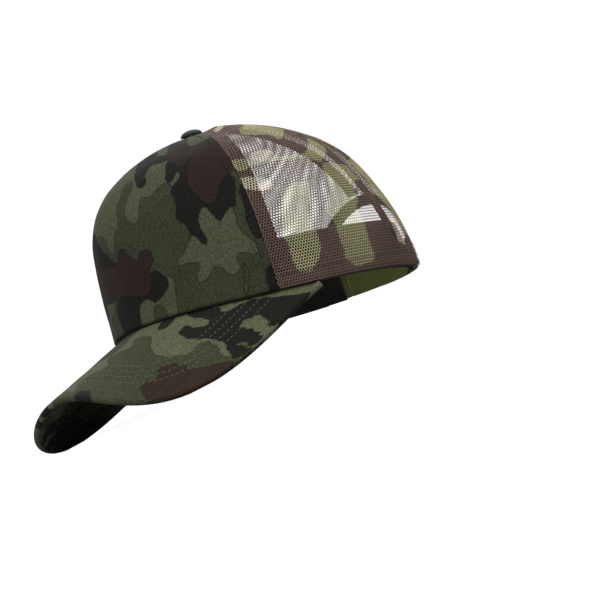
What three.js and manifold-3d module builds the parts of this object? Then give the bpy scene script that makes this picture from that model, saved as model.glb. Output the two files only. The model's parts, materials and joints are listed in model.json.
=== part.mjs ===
// A five-panel trucker cap: a foam-backed front panel, four mesh panels, an arched brim and a snap closure.
// Millimetres. Every piece is shaped in the crown frame: +Z along the head's axis, -Y towards the brim, +X the
// wearer's left, with Z 0 on the plane of the lower edge. The cap is then set down as it rests on a table, on the
// two corners of the brim and the back of its lower edge, with the origin under the middle of its box.
import * as THREE from "three";
import { mergeVertices } from "three/addons/utils/BufferGeometryUtils.js";
import Module from "manifold-3d";

const wasm = await Module();
wasm.setup();

// ---- driving dimensions ----
const GAP = 0.3; // between pieces that touch
const HALF_LENGTH = 102; // the lower edge is an oval: half its length along Y
const HALF_WIDTH = 86; // and half its width along X
const CROWN_HEIGHT = 114;
const TOP_FORWARD = 19; // how far the button stands in front of the oval's middle
const FRONT_PROFILE = [2.4, 3]; // exponents of the profile, across and up: 2 is an ellipse, more a fuller shoulder
const BACK_PROFILE = [2.1, 2.1];
const MESH_SWELL = 2.5; // how far the mesh panels bulge between their seams
const FRONT_SEAM_DEG = 65; // where the front panel meets the mesh, round the oval from the front
const SIDE_SEAM_DEG = 125; // where the side mesh meets the back mesh
const TOP_HOLE_RADIUS = 5; // the panels stop this far from the button's middle
const FRONT_ARCH = 5; // the lower edge rises by this much in the middle of the front

const FABRIC = 1; // thickness of the front panel's cloth
const MESH = 1;
const FOAM = 3;
const TAPE = 1;
const TAPE_WIDTH = 18; // over the front seams
const REAR_TAPE_WIDTH = 10; // over the rear and back seams
const FOAM_CLEARANCE = 1; // between the foam's edge and the tape over the front seam, so that the tape lies flat
const HEM = 3; // the mesh panels' lower edge is folded and this thick
const HEM_HEIGHT = 10;

const SWEATBAND = 2;
const SWEATBAND_HEIGHT = 32;
const SWEATBAND_DROP = 5; // in front it reaches this far below the lower edge, over the brim's inner edge

const BRIM_SHARE = 80; // the brim's corners, in degrees round the oval from the front
const BRIM_REACH = 170; // from the oval's middle to the brim's front edge
const BRIM_SQUARENESS = 3.2; // exponent of the brim's outline: 2 is an ellipse, more has squarer corners
const BRIM_SLOPE = 0.468; // how steeply the brim runs down to the front
const BRIM_ARCH = [82, 66]; // radius of the arch across the brim, at its corners and at its front edge
const BRIM_BOARD = 2;
const BRIM_COVER = 0.9;
const BRIM_TUCK = 4; // how far the brim runs in under the crown's wall
const BRIM_OVERHANG = 2; // the brim is this much wider than the crown on each side
const BRIM_HALF_WIDTH = HALF_WIDTH + BRIM_OVERHANG;
const BRIM_TAPER = 2.5; // the outline turns in by this much at the corners, to end flush with the crown

const OPENING_HALF_WIDTH = 42; // the arch at the back, along the lower edge
const OPENING_HEIGHT = 50;
const BINDING_WIDTH = 7;
const BINDING = 0.9;

const STRAP_HEIGHT = 20;
const STRAP_RISE = 1; // the straps' lower edge above the lower edge of the cap
const STRAP = 1.1;
const STRAP_PAST_MIDDLE = 22.5; // how far each strap reaches past the middle of the back
const STRAP_TAB = 13; // length of the end that is sewn in
const FLEX_INSET = 2; // the flex line stands this far inside the opening
const FLEX_GAP = 1.2;
const SNAP_PITCH = 8.6;
const SNAP_COUNT = 7;
const SNAPS_CLOSED = 5; // pegs that sit in holes
const PEG_RADIUS = 1.9;
const PEG_CLEARANCE = 0.8;
const PEG_PROUD = 0.5; // how far a peg stands out of the outer strap

const BUTTON_RADIUS = 7.5;
const BUTTON_HEIGHT = 5;
const BUTTON_WALL = 1;
const TACK_RADIUS = 6;
const TACK_SHANK = 1.6;
const TACK_PLATE = 1;

const { degToRad: rad, lerp: mix, smoothstep } = THREE.MathUtils;
const FRONT_SEAM = rad(FRONT_SEAM_DEG);
const SIDE_SEAM = rad(SIDE_SEAM_DEG);
const BRIM_CORNER = rad(BRIM_SHARE);
const BACK = Math.PI;

// ---- the lower edge ----
// A point of the oval, `inset` inside it, at the parameter angle u measured from the front towards the left.
function oval(u, inset = 0) {
  const normal = new THREE.Vector2(Math.sin(u) / HALF_WIDTH, -Math.cos(u) / HALF_LENGTH).normalize();
  return new THREE.Vector2(HALF_WIDTH * Math.sin(u), -HALF_LENGTH * Math.cos(u)).addScaledVector(normal, -inset);
}

// The height of the lower edge: arched over the brim, and flat from the brim's corners back.
function edgeHeight(u) {
  const share = Math.abs(u) / BRIM_CORNER;
  return share < 1 ? FRONT_ARCH * Math.cos((share * Math.PI) / 2) ** 2 : 0;
}

// The angle that spans a length along the lower edge, near the angle u.
const angleFor = (length, u) => length / Math.hypot(HALF_WIDTH * Math.cos(u), HALF_LENGTH * Math.sin(u));

// ---- the crown's surface ----
const TOP = new THREE.Vector3(0, -TOP_FORWARD, CROWN_HEIGHT);
const KNEE = 0.93; // share of the height above which rows are set by their distance from the button

// How far the cloth bulges outwards: nothing on a seam, on the lower edge or at the button.
function swell(u, rise) {
  const turn = Math.abs(u);
  if (turn < FRONT_SEAM) return 0;
  const [from, to] = turn < SIDE_SEAM ? [FRONT_SEAM, SIDE_SEAM] : [SIDE_SEAM, BACK];
  const across = Math.sin((Math.PI * (turn - from)) / (to - from)) ** 2;
  return MESH_SWELL * across * Math.sin(Math.PI * rise ** 2) ** 2;
}

// The crown's outer surface: u goes round it, and rise goes from 0 at the lower edge to 1 at the top hole.
function crownPoint(u, rise) {
  const foot = oval(u);
  const low = edgeHeight(u);
  const forward = smoothstep(Math.cos(u), -0.5, 0.8);
  const [p, q] = [0, 1].map((i) => mix(BACK_PROFILE[i], FRONT_PROFILE[i], forward));
  const reach = Math.hypot(foot.x - TOP.x, foot.y - TOP.y);
  const outAt = (up) => (1 - up ** q) ** (1 / p);
  const above = Math.max(0, rise - KNEE) / (1 - KNEE);
  const out = above ? mix(outAt(KNEE), TOP_HOLE_RADIUS / reach, above) : outAt(rise);
  const up = above ? (1 - out ** p) ** (1 / q) : rise;
  const bulge = 1 + swell(u, rise) / reach;
  return new THREE.Vector3(
    TOP.x + (foot.x - TOP.x) * out * bulge,
    TOP.y + (foot.y - TOP.y) * out * bulge,
    low + (TOP.z - low) * up,
  );
}

// A point `depth` inside the crown's outer surface.
function insideCrown(u, rise, depth) {
  const step = 1e-3;
  const across = crownPoint(u + step, rise).sub(crownPoint(u - step, rise));
  const along = rise < step
    ? new THREE.Vector3(0, 0, 1) // the wall leaves the lower edge straight up
    : crownPoint(u, Math.min(1, rise + step)).sub(crownPoint(u, rise - step));
  const outward = across.cross(along).normalize();
  return crownPoint(u, rise).addScaledVector(outward, -depth);
}

// ---- closed solids ----
// A closed block over a grid of columns and rows: place(column, row, 0) is its outer face and
// place(column, row, 1) its inner one. Columns, rows and the way out are a right-handed set.
function block(columns, rows, place) {
  const [wide, high] = [columns.length, rows.length];
  const points = [];
  for (const face of [0, 1]) {
    for (const column of columns) {
      for (const row of rows) points.push(...place(column, row, face).toArray());
    }
  }
  const at = (i, j, face) => (face * wide + i) * high + j;
  const index = [];
  for (let i = 0; i + 1 < wide; i++) {
    for (let j = 0; j + 1 < high; j++) {
      const [a, b, c, d] = [at(i, j, 0), at(i + 1, j, 0), at(i + 1, j + 1, 0), at(i, j + 1, 0)];
      const below = wide * high;
      index.push(a, b, c, a, c, d, c + below, b + below, a + below, d + below, c + below, a + below);
    }
  }
  const rim = [];
  for (let i = 0; i < wide; i++) rim.push([i, 0]);
  for (let j = 1; j < high; j++) rim.push([wide - 1, j]);
  for (let i = wide - 2; i >= 0; i--) rim.push([i, high - 1]);
  for (let j = high - 2; j > 0; j--) rim.push([0, j]);
  rim.forEach(([i, j], k) => {
    const [m, n] = rim[(k + 1) % rim.length];
    index.push(at(m, n, 0), at(i, j, 0), at(i, j, 1), at(m, n, 0), at(i, j, 1), at(m, n, 1));
  });
  const geometry = new THREE.BufferGeometry();
  geometry.setAttribute("position", new THREE.Float32BufferAttribute(points, 3));
  geometry.setIndex(index);
  return geometry;
}

function solid(geometry) {
  const bare = geometry.clone();
  bare.deleteAttribute("normal");
  bare.deleteAttribute("uv");
  const merged = mergeVertices(bare, 1e-4);
  return new wasm.Manifold(
    new wasm.Mesh({
      numProp: 3,
      vertProperties: new Float32Array(merged.attributes.position.array),
      triVerts: new Uint32Array(merged.index.array),
    }),
  );
}

function geometryOf(manifold) {
  const { numProp, vertProperties, triVerts } = manifold.getMesh();
  const geometry = new THREE.BufferGeometry();
  geometry.setAttribute("position", new THREE.InterleavedBufferAttribute(
    new THREE.InterleavedBuffer(vertProperties, numProp), 3, 0));
  geometry.setIndex(new THREE.BufferAttribute(triVerts, 1));
  return geometry;
}

// Evenly spaced values from one end to the other, both included.
const spread = (from, to, count) => Array.from({ length: count + 1 }, (_, i) => mix(from, to, i / count));

// Layers over each other share these rows, so that their flat facets stay parallel.
const HEM_TOP = HEM_HEIGHT / CROWN_HEIGHT;
const BAND_TOP = SWEATBAND_HEIGHT / CROWN_HEIGHT;
const STRAP_TOP = STRAP_RISE + STRAP_HEIGHT;
const LOW_ROWS = [HEM_TOP, STRAP_TOP / CROWN_HEIGHT, BAND_TOP].sort((a, b) => a - b);
const ROWS = [0, ...LOW_ROWS, 0.42, 0.54, 0.64, 0.73, 0.81, 0.87, ...spread(KNEE, 1, 4)];
const rowsBetween = (low, high) => [low, ...ROWS.filter((row) => row > low + 0.01 && row < high - 0.01), high];

// The same for the columns: one set of angles for the whole crown and on past the back, with each layer's own ends.
const COLUMNS = spread(-BACK, 1.5 * BACK, 75);
const columnsBetween = (from, to) => [from, ...COLUMNS.filter((u) => u > from + 0.02 && u < to - 0.02), to];

// A layer of the crown from depth `near` to `near + thick` under the outer surface.
function crownLayer([from, to], [low, high], near, thick) {
  return block(columnsBetween(from, to), rowsBetween(low, high), (u, rise, face) =>
    insideCrown(u, rise, near + thick * face));
}

// ---- the back arch, cut out of the two back panels ----
function openingTool(grow) {
  const half = OPENING_HALF_WIDTH + grow;
  const outline = new THREE.Shape();
  outline.moveTo(half, -30);
  outline.lineTo(half, STRAP_TOP);
  outline.absellipse(0, STRAP_TOP, half, OPENING_HEIGHT + grow - STRAP_TOP, 0, Math.PI, false);
  outline.lineTo(-half, -30);
  const bar = new THREE.ExtrudeGeometry(outline, { depth: HALF_LENGTH, bevelEnabled: false, curveSegments: 10 });
  return solid(bar.rotateX(Math.PI / 2).translate(0, HALF_LENGTH + 40, 0));
}

const seamHalf = (seam) => angleFor(GAP / 2, seam);

function backPanel(side) {
  const ends = [SIDE_SEAM + seamHalf(SIDE_SEAM), BACK - seamHalf(BACK)];
  const range = side > 0 ? ends : [-ends[1], -ends[0]];
  return geometryOf(solid(crownLayer(range, [0, 1], 0, MESH)).subtract(openingTool(0)));
}

const LINING = MESH + GAP; // depth of whatever lies against the inside of the panels

// The tape that binds the arch, on the inside of the back panels.
function archBinding() {
  const half = angleFor(OPENING_HALF_WIDTH + BINDING_WIDTH + 6, BACK);
  const top = (OPENING_HEIGHT + BINDING_WIDTH + 6) / CROWN_HEIGHT;
  const wall = crownLayer([BACK - half, BACK + half], [HEM_TOP, top], LINING, BINDING);
  const above = solid(new THREE.BoxGeometry(400, 400, 200).translate(0, 0, 100 + STRAP_TOP + GAP));
  return geometryOf(solid(wall).intersect(openingTool(BINDING_WIDTH).subtract(openingTool(0.2))).intersect(above));
}

// The angle that spans a length along the crown at this height.
function angleAt(length, seam, rise) {
  const perRadian = crownPoint(seam + 0.01, rise).distanceTo(crownPoint(seam - 0.01, rise)) / 0.02;
  return length / Math.max(perRadian, TAPE_WIDTH);
}

// ---- tapes over the seams, and the foam between the two in front ----
function seamTape(seam, low, width) {
  const high = tapeEnd(width);
  return block([-1, 0, 1], rowsBetween(low, high), (across, rise, face) =>
    insideCrown(seam + angleAt((across * width) / 2, seam, rise), rise, LINING + TAPE * face));
}

// The tapes run towards the button until the two at the back would meet.
function tapeEnd(width) {
  const apart = (rise) => crownPoint(SIDE_SEAM, rise).distanceTo(crownPoint(BACK, rise));
  const stops = spread(mix(KNEE, 1, 0.6), KNEE - 0.1, 60);
  return stops.find((rise) => apart(rise) > 1.15 * width + GAP) ?? KNEE - 0.1;
}

// The foam stops this far from the front seam.
const FOAM_MARGIN = TAPE_WIDTH / 2 + FOAM_CLEARANCE;

function frontFoam() {
  const edge = FRONT_SEAM - angleAt(FOAM_MARGIN, FRONT_SEAM, 0);
  return block(columnsBetween(-edge, edge), rowsBetween(0, mix(KNEE, 1, 0.5)), (u, rise, face) => {
    const share = (FRONT_SEAM - angleAt(FOAM_MARGIN, FRONT_SEAM, rise)) / edge;
    return insideCrown(u * share, rise, LINING + FOAM * face);
  });
}

// ---- the sweatband: inside the lower edge, from one side of the back opening round the front to the other ----
const BAND_DEPTH = LINING + FOAM + GAP;
const bandEnd = BACK - angleFor(OPENING_HALF_WIDTH + 0.5, BACK);

function sweatband() {
  return block(columnsBetween(-bandEnd, bandEnd), [-1, HEM_TOP, BAND_TOP], (u, row, face) => {
    const p = insideCrown(u, Math.max(0, row), BAND_DEPTH + SWEATBAND * face);
    const inFront = 1 - smoothstep(Math.abs(u), 0.85 * BRIM_CORNER, 1.04 * BRIM_CORNER);
    if (row < 0) p.z += mix(1, -SWEATBAND_DROP, inFront);
    return p;
  });
}

// ---- the brim ----
const BRIM_THICK = 2 * BRIM_COVER + 2 * GAP + BRIM_BOARD;
const RIM = BRIM_THICK / 2; // the brim's edge is rounded to this radius
const BRIM_BACK = -oval(BRIM_CORNER).y; // how far in front of the oval's middle the corners are

// The middle line of the brim's rounded edge, across from -1 at the right corner to 1 at the left one.
function brimEdge(across) {
  const turn = (across * Math.PI) / 2;
  const n = BRIM_SQUARENESS;
  const size = (Math.abs(Math.sin(turn)) ** n + Math.cos(turn) ** n) ** (-1 / n);
  const x = (BRIM_HALF_WIDTH - RIM) * Math.sin(turn) * size;
  const forward = (BRIM_REACH - BRIM_BACK - RIM) * Math.cos(turn) * size;
  const curl = mix(1 / BRIM_ARCH[0], 1 / BRIM_ARCH[1], forward / (BRIM_REACH - BRIM_BACK)) / 2;
  const corner = (BRIM_HALF_WIDTH - RIM) ** 2 / BRIM_ARCH[0] / 2;
  const height = corner - BRIM_SLOPE * forward - curl * x * x - GAP;
  return new THREE.Vector3(x - BRIM_TAPER * across ** 9, -BRIM_BACK - forward, height);
}

// The brim's top face: `out` runs from 0 under the crown to 1 above the middle of the rounded edge.
function brimTop(across, out) {
  const u = across * BRIM_CORNER;
  const { x, y } = oval(u, BRIM_TUCK);
  return new THREE.Vector3(x, y, edgeHeight(u) - GAP).lerp(brimEdge(across), out);
}

// The way across, the way out and the way up, at a point of the brim's top face.
function brimAxes(across, out) {
  const step = 1e-3;
  const [a, b] = [Math.max(-1, across - step), Math.min(1, across + step)];
  const sideways = brimTop(b, out).sub(brimTop(a, out));
  const outwards = brimTop(across, 1).sub(brimTop(across, 0)).normalize();
  const up = outwards.clone().cross(sideways).normalize();
  if (out < 1) up.lerp(new THREE.Vector3(0, 0, 1), 1 - out).normalize(); // so that the inner edge stands upright
  return { outwards, up };
}

const BRIM_ACROSS = spread(-1, 1, 28);
const BRIM_OUT = spread(0, 1, 4);

// A layer of the brim, with its edge `trim` short of the middle of the rounded edge.
function brimLayer(near, thick, trim) {
  return block(BRIM_ACROSS, [...BRIM_OUT].reverse(), (across, out, face) => {
    const { outwards, up } = brimAxes(across, out);
    return brimTop(across, out).addScaledVector(outwards, -trim * out).addScaledVector(up, -near - thick * face);
  });
}

// The top cover also turns down round the edge and ends level with the under cover.
function brimTopCover() {
  const turns = [180, 135, 90, 45].map(rad);
  return block(BRIM_ACROSS, [...turns.map((t) => 1 + t), ...[...BRIM_OUT].reverse()], (across, row, face) => {
    const out = Math.min(1, row);
    const turn = Math.max(0, row - 1);
    const { outwards, up } = brimAxes(across, out);
    const radius = RIM - BRIM_COVER * face;
    return brimTop(across, out).addScaledVector(up, -RIM + radius * Math.cos(turn))
      .addScaledVector(outwards, radius * Math.sin(turn));
  });
}

// ---- the snap closure ----
const OUTER_STRAP = LINING; // depth of the outer strap's outer face under the crown's surface
const INNER_STRAP = OUTER_STRAP + STRAP + GAP;
const FLEX_LINE = OPENING_HALF_WIDTH - FLEX_INSET; // along the lower edge from the middle of the back
const STRAP_MIDDLE = STRAP_RISE + STRAP_HEIGHT / 2;

// A point inside the crown's surface, `s` along the lower edge from the middle of the back, towards the left.
const backPoint = (s, height, depth) => insideCrown(BACK - angleFor(s, BACK), height / CROWN_HEIGHT, depth);

// A stretch of strap from s = from to s = to, with a rounded end at `to` when tip is set.
function strapLength(from, to, depth, tip) {
  const alongs = spread(0, 1, Math.max(3, Math.round(Math.abs(to - from) / 5)));
  const heights = [0, 0.12, 0.3, 0.5, 0.7, 0.88, 1];
  const way = Math.sign(to - from);
  const rows = way < 0 ? heights : [...heights].reverse();
  return block(alongs, rows, (along, height, face) => {
    const round = (STRAP_HEIGHT / 3) * (1 - Math.sqrt(1 - (2 * height - 1) ** 2));
    const s = mix(from, to - (tip ? way * round : 0), along);
    return backPoint(s, STRAP_RISE + STRAP_HEIGHT * height, depth + STRAP * face);
  });
}

// A round bar through the straps at s, from one depth to another.
function snapBar(s, radius, outer, inner) {
  const [start, end] = [backPoint(s, STRAP_MIDDLE, inner), backPoint(s, STRAP_MIDDLE, outer)];
  const way = end.clone().sub(start);
  const bar = new THREE.CylinderGeometry(radius, radius, way.length(), 12);
  bar.applyQuaternion(new THREE.Quaternion().setFromUnitVectors(new THREE.Vector3(0, 1, 0), way.normalize()));
  const middle = start.lerp(end, 0.5);
  return solid(bar.translate(middle.x, middle.y, middle.z));
}

const snapPlaces = (side) => Array.from({ length: SNAP_COUNT }, (_, i) =>
  side * SNAP_PITCH * (i - (SNAPS_CLOSED - 1) / 2));

function holeStrap() {
  let strap = solid(strapLength(FLEX_LINE - FLEX_GAP, -STRAP_PAST_MIDDLE, OUTER_STRAP, true));
  for (const s of snapPlaces(1)) {
    strap = strap.subtract(snapBar(s, PEG_RADIUS + PEG_CLEARANCE, OUTER_STRAP - 2, OUTER_STRAP + STRAP + 2));
  }
  return geometryOf(strap);
}

function pegStrap() {
  let strap = solid(strapLength(-FLEX_LINE + FLEX_GAP, STRAP_PAST_MIDDLE, INNER_STRAP, true));
  for (const s of snapPlaces(-1)) {
    strap = strap.add(snapBar(s, PEG_RADIUS, OUTER_STRAP - PEG_PROUD, INNER_STRAP + STRAP / 2));
  }
  return geometryOf(strap);
}

const strapTab = (side, depth) =>
  strapLength(side * (OPENING_HALF_WIDTH + STRAP_TAB), side * FLEX_LINE, depth, false);

// ---- the button ----
function buttonCover() {
  const dome = (radius, height) => spread(0, Math.PI / 2, 5).map((t) =>
    new THREE.Vector2(t < 1.57 ? radius * Math.cos(t) : 0, height * Math.sin(t)));
  const outside = dome(BUTTON_RADIUS, BUTTON_HEIGHT);
  const inside = dome(BUTTON_RADIUS - BUTTON_WALL, BUTTON_HEIGHT - BUTTON_WALL).reverse();
  return new THREE.LatheGeometry([...inside, ...outside], 20);
}

function buttonTack() {
  const top = BUTTON_HEIGHT - BUTTON_WALL - GAP;
  const plate = -LINING - GAP - TACK_PLATE;
  const outline = [[0, plate], [TACK_RADIUS, plate], [TACK_RADIUS, plate + TACK_PLATE],
    [TACK_SHANK, plate + TACK_PLATE], [TACK_SHANK, top], [0, top]];
  return new THREE.LatheGeometry(outline.map(([x, y]) => new THREE.Vector2(x, y)), 16);
}

// ---- materials ----
const cloth = (color, roughness = 0.9) => new THREE.MeshStandardMaterial({ color, roughness, metalness: 0 });
const camoCloth = cloth(0x4c5340);
const brimCloth = cloth(0x666851);
const camoMesh = cloth(0x6a5a48, 0.8);
const foam = cloth(0x2c2c2a);
const darkTape = cloth(0x2a221e);
const bandCloth = cloth(0x1c1d19);
const snapPlastic = cloth(0x7d8c3c, 0.45);
const board = cloth(0xd8d8d2, 0.5);
const buttonCloth = cloth(0x141512, 0.7);
const tackMetal = new THREE.MeshStandardMaterial({ color: 0x8a8c8e, roughness: 0.4, metalness: 0.9 });

// ---- the assembly ----
const cap = new THREE.Group();

function add(name, geometry, material) {
  const mesh = new THREE.Mesh(geometry, material);
  mesh.name = name;
  cap.add(mesh);
  return mesh;
}

const frontEdge = FRONT_SEAM - seamHalf(FRONT_SEAM);
add("front_panel", crownLayer([-frontEdge, frontEdge], [0, 1], 0, FABRIC), camoCloth);

add("front_foam", frontFoam(), foam);

const tapeLow = HEM_TOP + 0.01;
for (const [side, name] of [[1, "left"], [-1, "right"]]) {
  const mirrored = (from, to) => (side > 0 ? [from, to] : [-to, -from]);
  const sideRange = mirrored(FRONT_SEAM + seamHalf(FRONT_SEAM), SIDE_SEAM - seamHalf(SIDE_SEAM));
  add(`side_panel_${name}`, crownLayer(sideRange, [0, 1], 0, MESH), camoMesh);
  add(`back_panel_${name}`, backPanel(side), camoMesh);
  const hemEnd = BACK - angleFor(OPENING_HALF_WIDTH + STRAP_TAB + 1, BACK);
  const hemRange = mirrored(FRONT_SEAM + angleFor(1, FRONT_SEAM), hemEnd);
  add(`hem_${name}`, crownLayer(hemRange, [0, HEM_TOP], LINING, HEM), darkTape);
  add(`seam_tape_front_${name}`, seamTape(side * FRONT_SEAM, tapeLow, TAPE_WIDTH), darkTape);
  add(`seam_tape_rear_${name}`, seamTape(side * SIDE_SEAM, tapeLow, REAR_TAPE_WIDTH), darkTape);
}
const archTop = (OPENING_HEIGHT + BINDING_WIDTH + 2) / CROWN_HEIGHT;
add("seam_tape_back", seamTape(BACK, archTop, REAR_TAPE_WIDTH), darkTape);
add("arch_binding", archBinding(), darkTape);
add("sweatband", sweatband(), bandCloth);

const BOARD_DEPTH = BRIM_COVER + GAP;
add("brim_top_cover", brimTopCover(), brimCloth);
add("brim_board", brimLayer(BOARD_DEPTH, BRIM_BOARD, GAP), board);
add("brim_under_cover", brimLayer(BOARD_DEPTH + BRIM_BOARD + GAP, BRIM_COVER, 2 * GAP), brimCloth);

const upright = (geometry) => geometry.rotateX(Math.PI / 2);
const buttonSeat = TOP.clone().add(new THREE.Vector3(0, 0, GAP));
add("button_cap", upright(buttonCover()), buttonCloth).position.copy(buttonSeat);
add("button_rivet", upright(buttonTack()), tackMetal).position.copy(buttonSeat);

add("snap_strap_holes", holeStrap(), snapPlastic);
add("snap_strap_pegs", pegStrap(), snapPlastic);
add("strap_tab_left", strapTab(1, OUTER_STRAP), snapPlastic);
add("strap_tab_right", strapTab(-1, INNER_STRAP), snapPlastic);

// ---- set down on a table ----
// Turned nose-up by this angle, the brim's lowest points and the back of the lower edge stand level.
function restTilt(group) {
  const points = [];
  group.traverse((o) => {
    if (!o.isMesh) return;
    const at = o.geometry.getAttribute("position");
    for (let i = 0; i < at.count; i++) points.push(new THREE.Vector3().fromBufferAttribute(at, i).add(o.position));
  });
  const lowest = (tilt, front) => Math.min(...points
    .filter((q) => q.y < 0 === front)
    .map((q) => q.z * Math.cos(tilt) - q.y * Math.sin(tilt)));
  let [low, high] = [0, 0.6];
  for (let i = 0; i < 40; i++) {
    const middle = (low + high) / 2;
    if (lowest(middle, true) < lowest(middle, false)) low = middle;
    else high = middle;
  }
  return low;
}

const part = new THREE.Group();
cap.rotation.x = -restTilt(cap);
part.add(cap);
const box = new THREE.Box3().setFromObject(part, true);
const middle = box.getCenter(new THREE.Vector3());
cap.position.set(-middle.x, -middle.y, -box.min.z);

export default part;
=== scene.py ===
"""A trucker mesh cap: soft goods, net, print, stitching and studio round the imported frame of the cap."""

import json
import logging
import math
from dataclasses import dataclass, field
from enum import Enum

import bpy
import numpy as np
from mathutils import Matrix, Vector

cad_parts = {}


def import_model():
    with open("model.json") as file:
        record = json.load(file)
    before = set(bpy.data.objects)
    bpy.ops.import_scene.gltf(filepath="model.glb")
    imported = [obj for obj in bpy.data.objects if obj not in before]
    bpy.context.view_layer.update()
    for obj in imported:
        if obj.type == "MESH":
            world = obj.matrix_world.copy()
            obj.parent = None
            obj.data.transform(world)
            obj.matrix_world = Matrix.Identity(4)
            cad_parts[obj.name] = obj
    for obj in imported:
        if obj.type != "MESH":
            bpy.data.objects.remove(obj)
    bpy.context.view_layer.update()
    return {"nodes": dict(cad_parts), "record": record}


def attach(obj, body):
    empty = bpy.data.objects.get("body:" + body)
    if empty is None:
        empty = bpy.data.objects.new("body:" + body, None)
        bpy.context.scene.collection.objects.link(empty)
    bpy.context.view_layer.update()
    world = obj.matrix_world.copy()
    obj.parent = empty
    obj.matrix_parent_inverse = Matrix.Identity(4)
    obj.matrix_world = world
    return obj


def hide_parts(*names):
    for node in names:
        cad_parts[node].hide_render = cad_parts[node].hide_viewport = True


LOG = logging.getLogger("cap")
MM = 0.001

Grid = np.ndarray


class Side(Enum):
    """The wearer's two sides, with the sign of X on each."""

    LEFT = 1
    RIGHT = -1

    @property
    def word(self) -> str:
        """The side's name in lower case."""
        return self.name.lower()


# ---------------------------------------------------------------- the cap's own frame and shape


@dataclass
class CapFrame:
    """The crown's frame inside the row: where the head opening's middle is, and which way the crown stands.

    Attributes:
        origin: The middle of the head opening, in metres.
        down: The way out of the head opening.
    """

    origin: Vector
    down: Vector

    @classmethod
    def from_record(cls, record: dict) -> "CapFrame":
        """Reads the frame from the mount that names the head opening.

        Args:
            record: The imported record.

        Returns:
            The frame.
        """
        mount = next(m for m in record["mounts"] if m["name"] == "head_opening")
        return cls(Vector(mount["pos_m"]), Vector(mount["axis"]).normalized())

    @property
    def axes(self) -> np.ndarray:
        """The crown's X, Y and Z axes as the columns of a matrix."""
        up = -self.down
        side = Vector((1, 0, 0))
        back = up.cross(side).normalized()
        return np.array([side, back, up]).T

    def place(self, points: np.ndarray) -> np.ndarray:
        """Moves points from the crown's frame in millimetres to the row's in metres.

        Args:
            points: An array whose last axis is x, y, z.

        Returns:
            The moved points.
        """
        return np.asarray(points) @ self.axes.T * MM + np.array(self.origin)

    def turn(self, way: tuple[float, float, float]) -> Vector:
        """Turns a direction of the crown's frame into the row's."""
        return Vector(self.axes @ np.array(way))


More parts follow.
